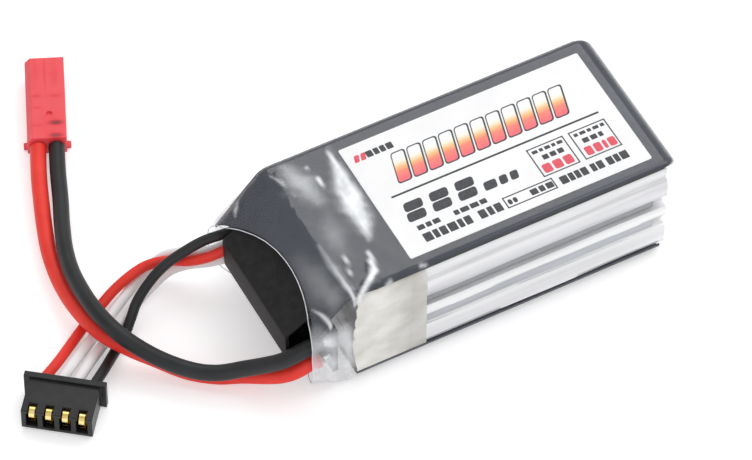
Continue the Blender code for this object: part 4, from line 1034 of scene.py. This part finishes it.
# %% Folded fibre sheet
def fibre_sheet():
    """Pressed black fibre, nearly without gloss."""
    material = new_finish("black_fibre", (0.010, 0.010, 0.011), 0.6, Specular_IOR_Level=0.3)
    mottle(material, (0.006, 0.006, 0.007), (0.013, 0.013, 0.014), 700)
    bump(material, noise(material, 2800), 0.5, 0.00006)
    return material


rounded_copy("end_pad", "folded_pad", fibre_sheet(), PAD_ROUNDING)

# %% [markdown]
# ## Inner pieces
# Tabs, joints, board and glue sheets lie deep inside and show only through the mouth, if at all. They
# keep their meshes as loaded, and each takes a finish of its own metal, plastic or paper.

# %% Inner pieces
INNER = (
    (metal("tin_plate", (0.60, 0.59, 0.56), (0.74, 0.73, 0.70), 0.30),
     ("power_contact_red", "power_contact_black")),
    (metal("solder", (0.50, 0.50, 0.52), (0.68, 0.68, 0.70), 0.28),
     ("main_solder_black", "main_solder_red", "balance_solder_black", "balance_solder_white_a",
      "balance_solder_white_b", "balance_solder_red")),
    (metal("aluminium", (0.72, 0.72, 0.74), (0.84, 0.84, 0.86), 0.34, (1, 1, 8)),
     ("tab_bottom_plus", "tab_middle_plus", "tab_top_plus")),
    (metal("nickel", (0.56, 0.54, 0.50), (0.70, 0.67, 0.62), 0.34, (1, 1, 8)),
     ("tab_bottom_minus", "tab_middle_minus", "tab_top_minus")),
    (moulded("board", (0.012, 0.014, 0.018), (0.026, 0.029, 0.034), 0.45), ("terminal_board",)),
    (moulded("adhesive", (0.62, 0.62, 0.57), (0.74, 0.73, 0.68), 0.6),
     ("adhesive_lower", "adhesive_upper")),
    (moulded("under_card", (0.05, 0.057, 0.075), (0.075, 0.085, 0.108), 0.4), ("bottom_card",)),
)
for material, node_names in INNER:
    for node_name in node_names:
        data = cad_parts[node_name].data
        data.materials.clear()
        data.materials.append(material)

# %% [markdown]
# ## Paths of the leads
# A loop looks up each lead's path, and does nothing more with it.

# %% Paths of the leads
for lead_name, piece in lead_pieces.items():
    path = lead_paths[lead_name]

# %% [markdown]
# ## Ground and light
# A white ground takes the pack's soft shadow. The key lamp stands to the right of the pack, above it,
# and models the folds. The front lamp opens the near side. The sheen lamp stands where the flat top
# mirrors it, so the card under the film looks slate and not black. An even white sky fills the rest.

# %% Ground, lamps and sky
GROUND_REACH, GROUND_GLOW = 1.5, 0.36


def add_ground():
    """A pale sheet under the object, which looks white to the camera and keeps the shadow."""
    mesh = bpy.data.meshes.new("ground")
    signs = ((-1, -1), (1, -1), (1, 1), (-1, 1))
    mesh.from_pydata([(x * GROUND_REACH, y * GROUND_REACH, 0) for x, y in signs], [], [(0, 1, 2, 3)])
    ground = bpy.data.objects.new("ground", mesh)
    ground.location = (0, 0, -0.05 * MM)
    bpy.context.scene.collection.objects.link(ground)
    material = new_finish("ground", (0.90, 0.90, 0.91), 0.9)
    shader = material.node_tree.nodes["Principled BSDF"]
    shader.inputs["Emission Color"].default_value = (1, 1, 1, 1)
    rays = material.node_tree.nodes.new("ShaderNodeLightPath")
    seen = rays.outputs["Is Camera Ray"]
    for other in ("Is Glossy Ray", "Is Transmission Ray"):
        seen = arithmetic(material, "MAXIMUM", seen, rays.outputs[other])
    connect(material, arithmetic(material, "MULTIPLY", seen, GROUND_GLOW), "Emission Strength")
    mesh.materials.append(material)


def add_lamp(name, place, power, size):
    """A square lamp that faces the pack."""
    data = bpy.data.lights.new(name, "AREA")
    data.energy = power
    data.shape = "SQUARE"
    data.size = size
    lamp = bpy.data.objects.new(name, data)
    bpy.context.scene.collection.objects.link(lamp)
    place = Vector(place)
    aim = Vector((-0.01, 0.0, 0.01)) - place
    turned = aim.to_track_quat("-Z", "Y").to_matrix().to_4x4()
    turned.translation = place
    lamp.matrix_world = turned


def add_sky(strength):
    """Even white light of a given strength; the camera itself sees plain white."""
    world = bpy.data.worlds.new("sky")
    world.use_nodes = True
    nodes, links = world.node_tree.nodes, world.node_tree.links
    background = nodes["Background"]
    background.inputs["Color"].default_value = (1, 1, 1, 1)
    rays = nodes.new("ShaderNodeLightPath")
    seen = nodes.new("ShaderNodeMath")
    seen.operation = "MULTIPLY_ADD"
    seen.inputs[1].default_value = 1.0 - strength
    seen.inputs[2].default_value = strength
    links.new(rays.outputs["Is Camera Ray"], seen.inputs[0])
    links.new(seen.outputs["Value"], background.inputs["Strength"])
    bpy.context.scene.world = world


add_ground()
add_lamp("key", (0.30, -0.08, 0.42), 0.50, 0.30)
add_lamp("front", (-0.22, -0.42, 0.22), 0.50, 0.35)
add_lamp("sheen", (0.14, 0.24, 0.42), 0.55, 0.30)
add_sky(0.67)
bpy.context.scene.view_settings.view_transform = "Standard"
